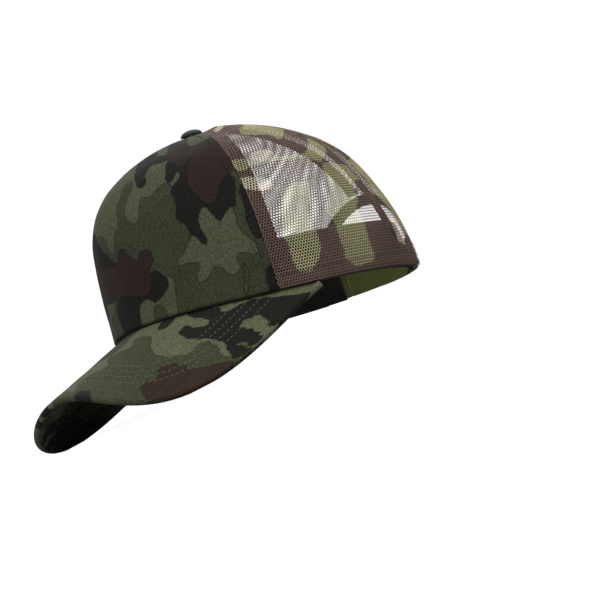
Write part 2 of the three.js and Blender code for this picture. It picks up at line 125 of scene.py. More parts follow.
@dataclass
class CrownShape:
    """The crown's outer surface: u goes round it from the front to the left, rise up to the button.

    Lengths are in millimetres and angles in radians.
    """

    half_length: float = 102.0
    half_width: float = 86.0
    height: float = 114.0
    top_forward: float = 19.0
    front_profile: tuple[float, float] = (2.4, 3.0)
    back_profile: tuple[float, float] = (2.1, 2.1)
    swell: float = 2.5
    front_seam: float = math.radians(65)
    side_seam: float = math.radians(125)
    top_hole: float = 5.0
    front_arch: float = 5.0
    brim_corner: float = math.radians(80)
    knee: float = 0.93
    front_stretch: float = 1.18
    shoulder: float = 3.4
    shoulder_at: float = 84.0
    shoulder_reach: float = 30.0
    dip: float = 1.2
    dip_at: float = 124.0
    dip_reach: float = 12.0
    net_lift: float = 3.3
    lift_from: float = 0.45
    lift_over: float = 0.35
    lift_end: float = 0.03

    def oval(self, u: Grid, inset: float = 0.0) -> tuple[Grid, Grid]:
        """A point of the lower edge, seen from above.

        Args:
            u: The angle from the front.
            inset: How far inside the edge the point lies.

        Returns:
            The point's x and y.
        """
        nx, ny = np.sin(u) / self.half_width, -np.cos(u) / self.half_length
        size = np.hypot(nx, ny)
        x = self.half_width * np.sin(u) - inset * nx / size
        y = -self.half_length * np.cos(u) - inset * ny / size
        return x, y

    def edge_height(self, u: Grid) -> Grid:
        """The height of the lower edge: arched over the brim and flat behind its corners."""
        share = np.clip(np.abs(u) / self.brim_corner, 0, 1)
        return self.front_arch * np.cos(share * math.pi / 2) ** 2

    def bulge(self, u: Grid, rise: Grid) -> Grid:
        """How far a mesh panel swells between its seams."""
        turn = np.abs(u)
        low = np.where(turn < self.side_seam, self.front_seam, self.side_seam)
        high = np.where(turn < self.side_seam, self.side_seam, math.pi)
        across = np.sin(math.pi * (turn - low) / (high - low)) ** 2
        return np.where(turn < self.front_seam, 0.0, self.swell * across * np.sin(math.pi * rise**2) ** 2)

    def puff(self, u: Grid, rise: Grid) -> Grid:
        """How far the cloth stands off the plain form: a full shoulder in front, net lifted near the top."""
        turn = np.abs(np.where(np.abs(u) > math.pi, 2 * math.pi - np.abs(u), u))
        y = self.height * self.front_stretch * rise
        full = self.shoulder * np.exp(-(((y - self.shoulder_at) / self.shoulder_reach) ** 2))
        shoulder = full - self.dip * np.exp(-(((y - self.dip_at) / self.dip_reach) ** 2))
        front = shoulder * np.clip(1 - (turn / self.front_seam) ** 4, 0, 1)
        lift = np.clip((rise - self.lift_from) / self.lift_over, 0, 1)
        near = np.clip((turn - self.front_seam) * 60 * np.clip(1.15 - rise, 0.15, 1) / 6, 0, 1)
        top = np.clip((1 - rise) / self.lift_end, 0, 1)
        net = self.net_lift * (lift * lift * (3 - 2 * lift)) * near * top
        return np.where(turn < self.front_seam, front, net)

    def point(self, u: Grid, rise: Grid) -> Grid:
        """A point of the outer surface.

        Args:
            u: The angle from the front.
            rise: 0 at the lower edge, 1 at the hole under the button.

        Returns:
            Points in the crown's frame, in millimetres.
        """
        u, rise = np.broadcast_arrays(np.asarray(u, float), np.asarray(rise, float))
        foot_x, foot_y = self.oval(u)
        low = self.edge_height(u)
        share = np.clip((np.cos(u) + 0.5) / 1.3, 0, 1)
        forward = share * share * (3 - 2 * share)
        p, q = (b + (f - b) * forward for b, f in zip(self.back_profile, self.front_profile))
        top_y = -self.top_forward
        reach = np.hypot(foot_x, foot_y - top_y)
        out_knee = (1 - self.knee**q) ** (1 / p)
        above = np.clip((rise - self.knee) / (1 - self.knee), 0, 1)
        out_low = (1 - np.clip(rise, 0, 1) ** q) ** (1 / p)
        out = np.where(above > 0, out_knee * (1 - above) + above * self.top_hole / reach, out_low)
        up = np.where(above > 0, (1 - np.clip(out, 0, 1) ** p) ** (1 / q), rise)
        size = 1 + self.bulge(u, rise) / reach
        x = foot_x * out * size
        y = top_y + (foot_y - top_y) * out * size
        return np.stack([x, y, low + (self.height - low) * up], -1)

    def inside(self, u: Grid, rise: Grid, depth: Grid) -> Grid:
        """A point some way under the outer surface.

        Args:
            u: The angle from the front.
            rise: The share of the way up.
            depth: How far inside the surface, or outside it where negative.

        Returns:
            Points in the crown's frame, in millimetres.
        """
        u, rise, depth = np.broadcast_arrays(*(np.asarray(v, float) for v in (u, rise, depth)))
        step = 1e-3
        across = self.point(u + step, rise) - self.point(u - step, rise)
        along = self.point(u, np.minimum(1, rise + step)) - self.point(u, np.maximum(0, rise - step))
        along = np.where((rise < step)[..., None], np.array([0.0, 0.0, 1.0]), along)
        out = np.cross(across, along)
        out /= np.linalg.norm(out, axis=-1, keepdims=True)
        return self.point(u, rise) + out * (self.puff(u, rise) - depth)[..., None]


@dataclass
class PanelMap:
    """A flat map of a stretch of the crown: x round it from a middle line and y up it, both in millimetres.

    Attributes:
        crown: The crown's surface.
        middle: The angle of the line x = 0.
        low: The panel's first angle.
        high: The panel's last angle.
    """

    crown: CrownShape
    middle: float
    low: float
    high: float
    rises: Grid = field(init=False)
    ups: Grid = field(init=False)

    def __post_init__(self) -> None:
        """Measures the way up the middle line."""
        self.rises = np.linspace(0, 1, 600)
        line = self.crown.point(np.full(600, self.middle), self.rises)
        self.ups = np.concatenate([[0], np.cumsum(np.linalg.norm(np.diff(line, axis=0), axis=1))])

    def rise_at(self, y: Grid) -> Grid:
        """The share of the way up at a height y of the map."""
        return np.interp(y, self.ups, self.rises)

    def up_at(self, rise: Grid) -> Grid:
        """The height y of the map at a share of the way up."""
        return np.interp(rise, self.rises, self.ups)

    def ring(self, rise: float) -> tuple[Grid, Grid]:
        """The angles and the x of the map along one level ring.

        Args:
            rise: The share of the way up.

        Returns:
            Two arrays over the panel's width.
        """
        turns = np.linspace(self.low, self.high, 121)
        line = self.crown.point(turns, np.full(121, rise))
        run = np.concatenate([[0], np.cumsum(np.linalg.norm(np.diff(line, axis=0), axis=1))])
        return turns, run - np.interp(self.middle, turns, run)

    def x_at(self, u: Grid, rise: Grid) -> Grid:
        """The x of the map over a grid whose rows are level rings.

        Args:
            u: Angles, columns by rows.
            rise: One share of the way up for each row.

        Returns:
            The x of each point.
        """
        x = np.empty_like(u)
        for j, level in enumerate(rise):
            turns, run = self.ring(float(level))
            x[:, j] = np.interp(u[:, j], turns, run)
        return x


# ---------------------------------------------------------------- the printed pattern


@dataclass(frozen=True)
class Patch:
    """One patch of the print, drawn by its corners in the millimetres of a panel's map and then rounded.

    Attributes:
        corners: The corners, in order.
    """

    corners: tuple[tuple[float, float], ...]

    def moved(self, dx: float, dy: float, turn: float = 0.0, size: float = 1.0) -> "Patch":
        """A copy of the patch, turned and sized about its middle and moved.

        Args:
            dx: How far across.
            dy: How far up.
            turn: The angle, in degrees.
            size: The scale.

        Returns:
            The copy.
        """
        points = np.array(self.corners)
        middle = points.mean(axis=0)
        c, s = math.cos(math.radians(turn)) * size, math.sin(math.radians(turn)) * size
        turned = (points - middle) @ np.array([[c, s], [-s, c]]) + middle + (dx, dy)
        return Patch(tuple((float(x), float(y)) for x, y in turned))

    def distance(self, x: Grid, y: Grid) -> Grid:
        """How far inside the rounded outline each place is, and negative outside it."""
        outline = np.array(self.corners)
        for _ in range(2):
            ahead = np.roll(outline, -1, axis=0)
            outline = np.stack([outline * 0.75 + ahead * 0.25, outline * 0.25 + ahead * 0.75],
                               1).reshape(-1, 2)
        near, odd = np.full(x.shape, 1e9), np.zeros(x.shape, bool)
        for (ax, ay), (bx, by) in zip(outline, np.roll(outline, -1, axis=0)):
            dx, dy = bx - ax, by - ay
            share = np.clip(((x - ax) * dx + (y - ay) * dy) / (dx * dx + dy * dy + 1e-12), 0, 1)
            near = np.minimum(near, (x - ax - share * dx) ** 2 + (y - ay - share * dy) ** 2)
            if ay != by:
                odd ^= ((ay > y) != (by > y)) & (x < ax + dx * (y - ay) / dy)
        return np.where(odd, 1, -1) * np.sqrt(near)


def wander(x: Grid, y: Grid, size: float, seed: int) -> Grid:
    """A smooth, repeatable wavering value between about -1 and 1.

    Args:
        x: Place across.
        y: Place up.
        size: How far apart its crests are.
        seed: Which waver it is.

    Returns:
        The value at each place.
    """
    rng = np.random.default_rng(seed)
    total = np.zeros_like(x, float)
    for _ in range(6):
        turn = rng.uniform(0, 2 * math.pi)
        pitch = 2 * math.pi / (size * rng.uniform(0.7, 1.5))
        total += np.sin((x * math.cos(turn) + y * math.sin(turn)) * pitch + rng.uniform(0, 2 * math.pi))
    return total / 3


@dataclass(frozen=True)
class Print:
    """A camouflage print: the patches of each ink, over a plain ground.

    Attributes:
        inks: The patches of each ink, by its name.
        waver: How far the patches' edges wander, in millimetres.
    """

    inks: dict[str, tuple[Patch, ...]]
    waver: float = 0.5

    def fields(self, x: Grid, y: Grid) -> dict[str, Grid]:
        """How far inside each ink's edge each place is."""
        made = {}
        for k, ink in enumerate(("light", "mid", "cream", "brown", "black")):
            px, py = x + self.waver * wander(x, y, 9.0, k), y + self.waver * wander(x, y, 8.0, k + 7)
            total = np.full(x.shape, -8.0)
            for patch in self.inks.get(ink, ()):
                total = np.maximum(total, patch.distance(px, py))
            made[f"ink_{ink}"] = np.minimum(total, 8.0)
        return made


FRONT_PRINT_SHIFT = (2.0, -1.0)
BRIM_PRINT_SHIFT = (1.5, -1.0)

STAR = Patch(((50, 30), (55, 34), (60, 40), (63, 43), (66, 44), (67, 50), (68, 55), (70, 58), (74, 56),
              (77, 51), (80, 47), (83, 49), (85, 53), (88, 54), (90, 50), (90, 43), (92, 38), (96, 33),
              (100, 30), (100, 23), (96, 22), (92, 25), (88, 26), (86, 22), (87, 17), (84, 13), (80, 14),
              (77, 18), (74, 21), (70, 20), (67, 15.5), (61, 13.5), (58.5, 16), (61, 19), (64, 23),
              (62, 26.5), (57, 27), (51, 26)))
CLOUD = Patch(((-24, 65), (-15, 61), (-8, 61), (-3, 57), (-1, 51), (2, 47), (6, 49), (7.5, 57), (9, 60),
               (12.5, 61), (11, 68), (8.5, 74), (10, 80), (9, 86), (11, 92), (14, 92), (17, 89), (18.5, 82),
               (16, 76), (17, 67), (19, 63), (23, 60), (27, 60), (29, 63), (27.5, 72), (28, 75.5), (31, 75),
               (37, 73), (39, 77), (43, 80), (47, 79), (49, 75), (52, 76), (54, 79), (52, 84), (48, 87),
               (43, 96), (36, 104), (29, 112), (21, 121), (12, 130), (2, 142), (-12, 146), (-30, 142),
               (-50, 120), (-56, 98), (-46, 80), (-34, 70)))
ISLAND = Patch(((12, 153), (8, 147), (16, 141), (25, 130), (33, 121), (38, 115), (43, 111.5), (48, 111),
                (52, 115), (54, 120), (44, 132), (26, 148)))
CORNER = Patch(((12, -4), (13, 7), (15, 11.5), (20, 13), (26, 12.5), (29, 9), (33, 12.5), (37, 14),
                (40, 20), (40, 24), (43, 22), (45, 17), (43, 10), (42.5, -4)))
RIVER = Patch(((51, 91), (53, 98), (55, 91), (56, 83), (60, 73), (65, 66), (70, 60), (74, 57.5), (79, 58),
               (80.5, 64), (80.5, 71), (84, 74), (88, 73), (90.5, 67), (91, 59), (91, 53), (87, 53),
               (84, 52), (83, 47), (79, 47), (76, 51), (73, 56.5), (70, 57.5), (67.5, 54), (67, 48),
               (69, 42), (72, 38), (70, 35), (67, 36.5), (64, 41), (61, 44), (60, 50), (56, 52), (54, 56),
               (54, 62), (51.5, 69), (49, 73), (51, 77), (53.5, 80), (51, 86), (49, 84), (49, 80), (46, 78),
               (43.5, 82), (40, 90), (36, 99), (35, 102), (39, 98), (43, 95), (47, 90), (49.5, 88)))
HOOK = Patch(((-24, 136), (-10, 134), (0, 132), (7, 127), (12, 120), (17, 114.5), (24, 111), (28, 109.5),
              (32, 105), (35, 100), (29, 100.5), (24, 102), (22.5, 98), (25, 91), (29, 86), (28.5, 82),
              (25, 82), (20, 88), (15, 95), (10, 102), (4, 110), (-3, 116), (-10, 120), (-24, 119)))
SUMMIT = Patch(((-24, 160), (-14, 150), (0, 142), (10, 135), (18, 125), (25, 114), (31, 106), (36, 99.5),
                (40, 96), (44, 94), (48, 88.5), (50, 90), (52, 96), (55, 91), (56, 83), (60, 73), (65, 66),
                (70, 60), (74, 56), (79, 57), (81, 62), (81, 72), (86, 74), (88, 78), (82, 88), (74, 97),
                (64, 108), (54, 118), (50, 113), (47, 110.5), (42, 112), (37, 115.5), (32, 122), (24, 131),
                (15, 141), (6, 150), (0, 160)))
CROWNLET = Patch(((5, 40), (8, 46), (12, 48.5), (15.5, 46), (18.5, 40.5), (23, 38), (26, 41), (30, 43),
                  (34, 41), (35, 37), (32, 31), (30.5, 26), (29, 18), (26, 13), (18, 15), (10, 17),
                  (2, 19.5), (-8, 20), (-24, 22), (-40, 26), (-46, 36), (-36, 46), (-16, 46), (0, 42)))
ELBOW = Patch(((31, 29), (35, 28), (39, 24), (41, 20), (40, 16), (36, 14), (32, 12), (29, 9.5), (26, 13),
               (21, 14), (17, 13), (13.5, 8), (13, 2), (14, -4), (-6, -4), (-9, 4), (-10.5, 10), (-8, 17),
               (-2, 20.5), (6, 19.5), (10, 17.5), (16, 17.5), (22, 15.5), (27, 17), (29.5, 22)))
SHOULDER = Patch(((-24, 67), (-17, 60), (-10, 53), (-4, 47), (3, 42), (4, 40), (0, 39.5), (-10, 42),
                  (-24, 44), (-40, 50), (-52, 62), (-58, 84), (-50, 90), (-38, 80)))

FRONT_PRINT = Print({
    "light": (STAR, CLOUD, ISLAND, CORNER,
              Patch(((84, 87), (87, 82), (90, 75), (92, 68), (94, 63), (97, 64), (95, 74), (88, 88))),
              Patch(((-36, 4), (-34, 18), (-26, 21), (-14, 21), (-9, 19.5), (-13, 15), (-18, 12.5),
                     (-25, 11), (-28, 4))),
              STAR.moved(-150, 34, 150), STAR.moved(-160, -10, 30, 0.9), CORNER.moved(-92, 20, -40)),
    "mid": (Patch(((24, -4), (25, 4), (27, 8), (31, 8), (34, 4), (35, -4))),
            Patch(((90, 23), (88, 10), (84, 2), (86, 0), (92, 10)))),
    "brown": (SUMMIT, CROWNLET, CROWNLET.moved(-84, 44, 110), SUMMIT.moved(-116, -84, 35, 0.7)),
    "black": (RIVER, HOOK, ELBOW, SHOULDER,
              Patch(((93, 66), (97, 68), (101, 60), (106, 44), (106, 32), (101, 31), (98, 36), (97, 44),
                     (96, 54), (93, 60))),
              Patch(((101, -4), (99.5, 4), (101, 11), (106, 16), (108, -4))),
              RIVER.moved(-148, -6, 165, 0.9), ELBOW.moved(-74, 92, 60), ELBOW.moved(-64, -2, 200, 0.8)),
})

LANCE = Patch(((49, 8), (51, 13), (56, 17.5), (62, 20.5), (69, 21), (75, 22), (81, 26), (86, 31), (90, 38),
               (95, 46), (99, 53), (101, 44), (95, 37), (90, 32), (93, 32), (97, 38), (101, 42), (101, 34),
               (97, 28), (92, 21), (88, 17), (84, 16), (83, 10), (85, 6), (90, 7), (94, 12), (98, 20),
               (102, 28), (106, 10), (104, -10), (74, -10), (72, -2), (66, -1), (62, -8), (42, -8),
               (46, -3), (53, 0), (59, 1.5), (64, 6), (65, 9.5), (60, 10.5), (55, 8.5), (51, 6.5)))
BANK = Patch(((59, 57), (60, 62), (63, 67), (67, 71), (74, 76), (90, 76), (97, 66), (99, 56), (95, 50),
              (88, 50), (80, 50), (75, 47.5), (69, 43), (64, 41.5), (60, 43), (61, 48), (64, 52),
              (65.5, 56), (63, 58.5)))
POND = Patch(((9, 27), (13, 31), (19, 35), (21, 40), (13, 43), (7, 49), (11, 55), (15, 61), (11, 69),
              (20, 82), (64, 84), (104, 80), (101, 52), (91, 45), (83, 33), (77, 26), (71, 23), (69, 29),
              (69, 34), (63, 36), (56, 35), (49, 32), (43, 27), (39, 23), (35, 16), (29, 11), (21, 10),
              (17, 11), (21, 15), (23, 19), (20, 22), (13, 24)))

BRIM_PRINT = Print({
    "mid": (POND, POND.moved(-74, 6, 160), POND.moved(-60, -44, 20, 0.6),
            Patch(((-8, 60), (2, 72), (16, 74), (18, 66), (4, 58)))),
    "brown": (BANK, BANK.moved(-118, -12, 30), BANK.moved(-84, -50, 100, 0.7)),
    "black": (LANCE, Patch(((26, -6), (27, 0), (29, 4.5), (33, 6), (37, 5), (37.5, 1), (35, -6))),
              Patch(((18, 64), (22, 69), (30, 74), (36, 72), (31, 66),
                     (26, 63))), LANCE.moved(-150, 16, 190, 0.9),
              LANCE.moved(-104, 40, 60, 0.6)),
}, 0.7)

WORM = Patch(((-40, 9), (-38, 25), (-40, 33), (-36, 40), (-31, 50), (-28, 57), (-20, 62), (-12, 64),
              (-6, 62), (-8, 55), (-13, 48), (-18, 42), (-18, 34), (-17, 22), (-22, 12), (-30, 6)))
TRUNK = Patch(((-2, 3), (-3, 20), (-1, 33), (-5, 41), (0, 47), (8, 54), (11, 62), (12, 70), (18, 74),
               (30, 72), (45, 70), (52, 60), (38, 59), (30, 53), (30, 46), (22, 40), (24, 30), (20, 18),
               (22, 4)))
PLUME = Patch(((-14, 111), (-12, 118), (-4, 124), (8, 130), (20, 138), (34, 130), (36, 112), (22, 110),
               (14, 104), (2, 98), (-2, 100), (2, 106), (-6, 107)))
RIBBON = Patch(((-36, 83), (-30, 87), (-22, 85), (-10, 83), (2, 82), (12, 84), (22, 90), (34, 98), (42, 90),
                (34, 82), (24, 78), (16, 74), (8, 78), (-2, 80), (-20, 81)))

SIDE_PRINT = Print({
    "light": (WORM, TRUNK, PLUME, RIBBON, Patch(((-44, 82), (-42, 92), (-34, 92), (-30, 84), (-38, 80))),
              TRUNK.moved(58, -8, 40, 0.7)),
    "cream": (Patch(((-48, 66), (-47, 76), (-40, 75), (-33, 72), (-29, 68), (-31, 64), (-38, 62), (-43, 66))),
              Patch(((-31, 86), (-27, 92), (-19, 92), (-13, 88), (-18, 84), (-26, 83))),
              Patch(((-16, 133), (-8, 140), (0, 146), (2, 142), (-6, 134)))),
    "black": (Patch(((26, 100), (34, 106), (44, 100), (38, 96))),
              Patch(((48, 26), (58, 34), (60, 14), (50, 14)))),
}, 0.6)

BACK_PRINT = Print({
    "light": (TRUNK.moved(-36, 10, 20, 0.8), WORM.moved(32, 4, -30), PLUME.moved(-14, -10, 60, 0.8),
              RIBBON.moved(6, 4, -40, 0.8),
              WORM.moved(52, 60, 140, 0.7)),
    "cream": (Patch(((-44, 14), (-40, 30), (-34, 34), (-30, 26), (-34, 12))),
              Patch(((2, 86), (8, 94), (14, 88), (8, 82)))),
    "black": (Patch(((10, 40), (20, 50), (30, 44), (22, 34))),
              Patch(((-20, 104), (-6, 110), (0, 102), (-12, 98)))),
}, 0.8)

# ---------------------------------------------------------------- meshes


def make_object(name: str, points: Grid, faces: list, smooth: bool = True) -> bpy.types.Object:
    """Makes a mesh object in the row's frame.

    Args:
        name: The piece's name.
        points: Its points, in metres.
        faces: Its faces, as lists of point numbers.
        smooth: Whether its faces shade smoothly.

    Returns:
        The object.
    """
    mesh = bpy.data.meshes.new(name)
    mesh.from_pydata(np.asarray(points, float).reshape(-1, 3).tolist(), [], faces)
    mesh.update()
    mesh.shade_smooth() if smooth else mesh.shade_flat()
    piece = bpy.data.objects.new(name, mesh)
    bpy.context.scene.collection.objects.link(piece)
    return piece


def set_field(piece: bpy.types.Object, name: str, values: Grid) -> None:
    """Stores one number for each point of a piece.

    Args:
        piece: The piece.
        name: The attribute's name.
        values: One value for each point.
    """
    attribute = piece.data.attributes.new(name, "FLOAT", "POINT")
    attribute.data.foreach_set("value", np.asarray(values, np.float32).ravel())


def set_map(piece: bpy.types.Object, x: Grid, y: Grid, name: str = "UVMap") -> None:
    """Gives a piece a UV map from the flat place of each point, in metres.

    Args:
        piece: The piece.
        x: Place across, in millimetres, for each point.
        y: Place up.
        name: The map's name.
    """
    layer = piece.data.uv_layers.new(name=name)
    loops = np.empty(len(piece.data.loops), np.int32)
    piece.data.loops.foreach_get("vertex_index", loops)
    flat = np.stack([np.asarray(x).ravel()[loops] * MM, np.asarray(y).ravel()[loops] * MM], -1)
    layer.data.foreach_set("uv", flat.astype(np.float32).ravel())


def sheet_faces(wide: int, high: int, offset: int = 0, flip: bool = False) -> list:
    """The quads of a grid of wide by high points, numbered column by column."""
    i, j = np.meshgrid(np.arange(wide - 1), np.arange(high - 1), indexing="ij")
    a = (i * high + j).ravel() + offset
    quads = np.stack([a, a + high, a + high + 1, a + 1], -1)
    return (quads[:, ::-1] if flip else quads).tolist()


def shell_faces(wide: int, high: int) -> list:
    """The faces of a closed shell: an outer grid, an inner grid after it, and the wall between their rims."""
    count = wide * high
    faces = sheet_faces(wide, high) + sheet_faces(wide, high, count, True)
    rim = [(i, 0) for i in range(wide)] + [(wide - 1, j) for j in range(1, high)]
    rim += [(i, high - 1) for i in range(wide - 2, -1, -1)] + [(0, j) for j in range(high - 2, 0, -1)]
    numbers = [i * high + j for i, j in rim]
    for a, b in zip(numbers, numbers[1:] + numbers[:1]):
        faces.append([b, a, a + count, b + count])
    return faces


def shell_object(name: str, outer: Grid, inner: Grid) -> bpy.types.Object:
    """Makes a closed shell piece between two grids of points, columns by rows, in metres."""
    points = np.concatenate([outer.reshape(-1, 3), inner.reshape(-1, 3)])
    return make_object(name, points, shell_faces(*outer.shape[:2]))


def rounded(distance: Grid, radius: float) -> Grid:
    """How far a turned-in edge drops at a distance from it."""
    d = np.clip(distance, 0, radius)
    return radius - np.sqrt(radius**2 - (radius - d) ** 2)


def stitch_template() -> tuple[np.ndarray, list]:
    """One stitch one unit long, along X, with Z up: a bowed thread that dives into the cloth at its ends.

    Returns:
        Its points and faces.
    """
    stations = [(-0.5, 0.25, -0.6), (-0.4, 0.8, 0.1), (0.0, 1.0, 0.45), (0.4, 0.8, 0.1), (0.5, 0.25, -0.6)]
    points, faces = [], []
    for x, size, lift in stations:
        for k in range(6):
            a = math.tau * k / 6
            points.append((x, math.cos(a) * size, math.sin(a) * size + lift))
    for s in range(len(stations) - 1):
        for k in range(6):
            a, b = s * 6 + k, s * 6 + (k + 1) % 6
            faces.append([a, b, b + 6, a + 6])
    faces.append([5, 4, 3, 2, 1, 0])
    last = (len(stations) - 1) * 6
    faces.append([last + k for k in range(6)])
    faces = [f[::-1] for f in faces]
    return np.array(points), faces


def stitch_row(name: str, lines: list[tuple[Grid, Grid]], length: float, gap: float,
               radius: float) -> bpy.types.Object:
    """Lays stitches along lines on a surface.

    Args:
        name: The piece's name.
        lines: For each row, its points and the surface's outward ways there, in metres.
        length: A stitch's length, in millimetres.
        gap: The space between two stitches.
        radius: The thread's radius.

    Returns:
        The piece with every stitch of every row.
    """
    template, faces = stitch_template()
    points, all_faces = [], []
    for line, ways in lines:
        run = np.concatenate([[0], np.cumsum(np.linalg.norm(np.diff(line, axis=0), axis=1))]) / MM
        count = int(run[-1] // (length + gap))
        starts = np.arange(count) * (length + gap) + gap / 2
        at = lambda d, v: np.stack([np.interp(d, run, v[:, k]) for k in range(3)], -1)
        a, b = at(starts, line), at(starts + length, line)
        up = at(starts + length / 2, ways)
        along = b - a
        size = np.linalg.norm(along, axis=1, keepdims=True)
        along /= size
        side = np.cross(up, along)
        side /= np.linalg.norm(side, axis=1, keepdims=True)
        up = np.cross(along, side)
        base = len(points) * len(template)
        for k in range(count):
            p = (a[k] + b[k]) / 2 + template[:, :1] * size[k] * along[k]
            p = p + (template[:, 1:2] * side[k] + template[:, 2:3] * up[k]) * radius * MM
            points.append(p)
            all_faces.extend([[v + base + k * len(template) for v in f] for f in faces])
    return make_object(name, np.concatenate(points), all_faces)


# ---------------------------------------------------------------- shader groups


class Socket(Enum):
    """The kinds of socket that a shader group is given."""

    VALUE = "NodeSocketFloat"
    COLOR = "NodeSocketColor"


class Nodes:
    """A small helper that adds nodes to a tree and joins them."""

    def __init__(self, tree: bpy.types.NodeTree) -> None:
        """Takes the tree to fill."""
        self.tree = tree

    def add(self, kind: str, **values: object) -> bpy.types.Node:
        """Adds a node.

        Args:
            kind: The node's type.
            **values: Properties to set on it.

        Returns:
            The node.
        """
        node = self.tree.nodes.new(kind)
        for key, value in values.items():
            setattr(node, key, value)
        return node

    def feed(self, target: bpy.types.NodeSocket, source: object) -> None:
        """Joins a socket to another, or sets its value."""
        if isinstance(source, bpy.types.NodeSocket):
            self.tree.links.new(source, target)
        else:
            target.default_value = source

    def math(self, operation: str, *sources: object, clamp: bool = False) -> bpy.types.NodeSocket:
        """Adds a Math node.

        Args:
            operation: What it does.
            *sources: Its inputs, sockets or numbers.
            clamp: Whether it keeps to 0 and 1.

        Returns:
            Its output.
        """
        node = self.add("ShaderNodeMath", operation=operation, use_clamp=clamp)
        for k, source in enumerate(sources):
            self.feed(node.inputs[k], source)
        return node.outputs[0]

    def span(self, value: object, low: float, high: float, to_low: float = 0.0,
             to_high: float = 1.0) -> bpy.types.NodeSocket:
        """Adds a Map Range node that keeps within its ends."""
        node = self.add("ShaderNodeMapRange")
        for key, source in zip(("Value", "From Min", "From Max", "To Min", "To Max"),
                               (value, low, high, to_low, to_high)):
            self.feed(node.inputs[key], source)
        return node.outputs[0]

    def mix(self, share: object, a: object, b: object, blend: str = "MIX") -> bpy.types.NodeSocket:
        """Adds a colour Mix node.

        Args:
            share: How much of the second colour.
            a: The first colour.
            b: The second colour.
            blend: The way of mixing.

        Returns:
            The mixed colour.
        """
        node = self.add("ShaderNodeMix", data_type="RGBA", blend_type=blend)
        self.feed(node.inputs["Factor"], share)
        self.feed(node.inputs[6], a)
        self.feed(node.inputs[7], b)
        return node.outputs[2]

    def noise(self, vector: object, scale: float, detail: float = 2.0,
              rough: float = 0.5) -> bpy.types.NodeSocket:
        """Adds a Noise Texture node and gives its value."""
        node = self.add("ShaderNodeTexNoise")
        self.feed(node.inputs["Vector"], vector)
        self.feed(node.inputs["Scale"], scale)
        self.feed(node.inputs["Detail"], detail)
        self.feed(node.inputs["Roughness"], rough)
        return node.outputs["Fac"]

    def field(self, name: str) -> bpy.types.NodeSocket:
        """Reads a number stored on the points."""
        return self.add("ShaderNodeAttribute", attribute_name=name).outputs["Fac"]


def new_group(name: str, inputs: dict[str, tuple[Socket, object]], outputs: dict[str, Socket]) -> tuple:
    """Starts a shader node group.

    Args:
        name: The group's name.
        inputs: Its inputs, with each one's kind and default.
        outputs: Its outputs.

    Returns:
        The tree, its helper, and the inside ends of its inputs and outputs.
    """
    tree = bpy.data.node_groups.new(name, "ShaderNodeTree")
    for key, (kind, value) in inputs.items():
        socket = tree.interface.new_socket(key, in_out="INPUT", socket_type=kind.value)
        socket.default_value = value
    for key, kind in outputs.items():
        tree.interface.new_socket(key, in_out="OUTPUT", socket_type=kind.value)
    nodes = Nodes(tree)
    return tree, nodes, nodes.add("NodeGroupInput").outputs, nodes.add("NodeGroupOutput").inputs


Color = tuple[float, float, float, float]


def tone(red: int, green: int, blue: int) -> Color:
    """A colour from its 0 to 255 display values, as the linear values that shaders take."""
    def linear(v: int) -> float:
        c = v / 255
        return c / 12.92 if c <= 0.04045 else ((c + 0.055) / 1.055) ** 2.4
    return linear(red), linear(green), linear(blue), 1.0


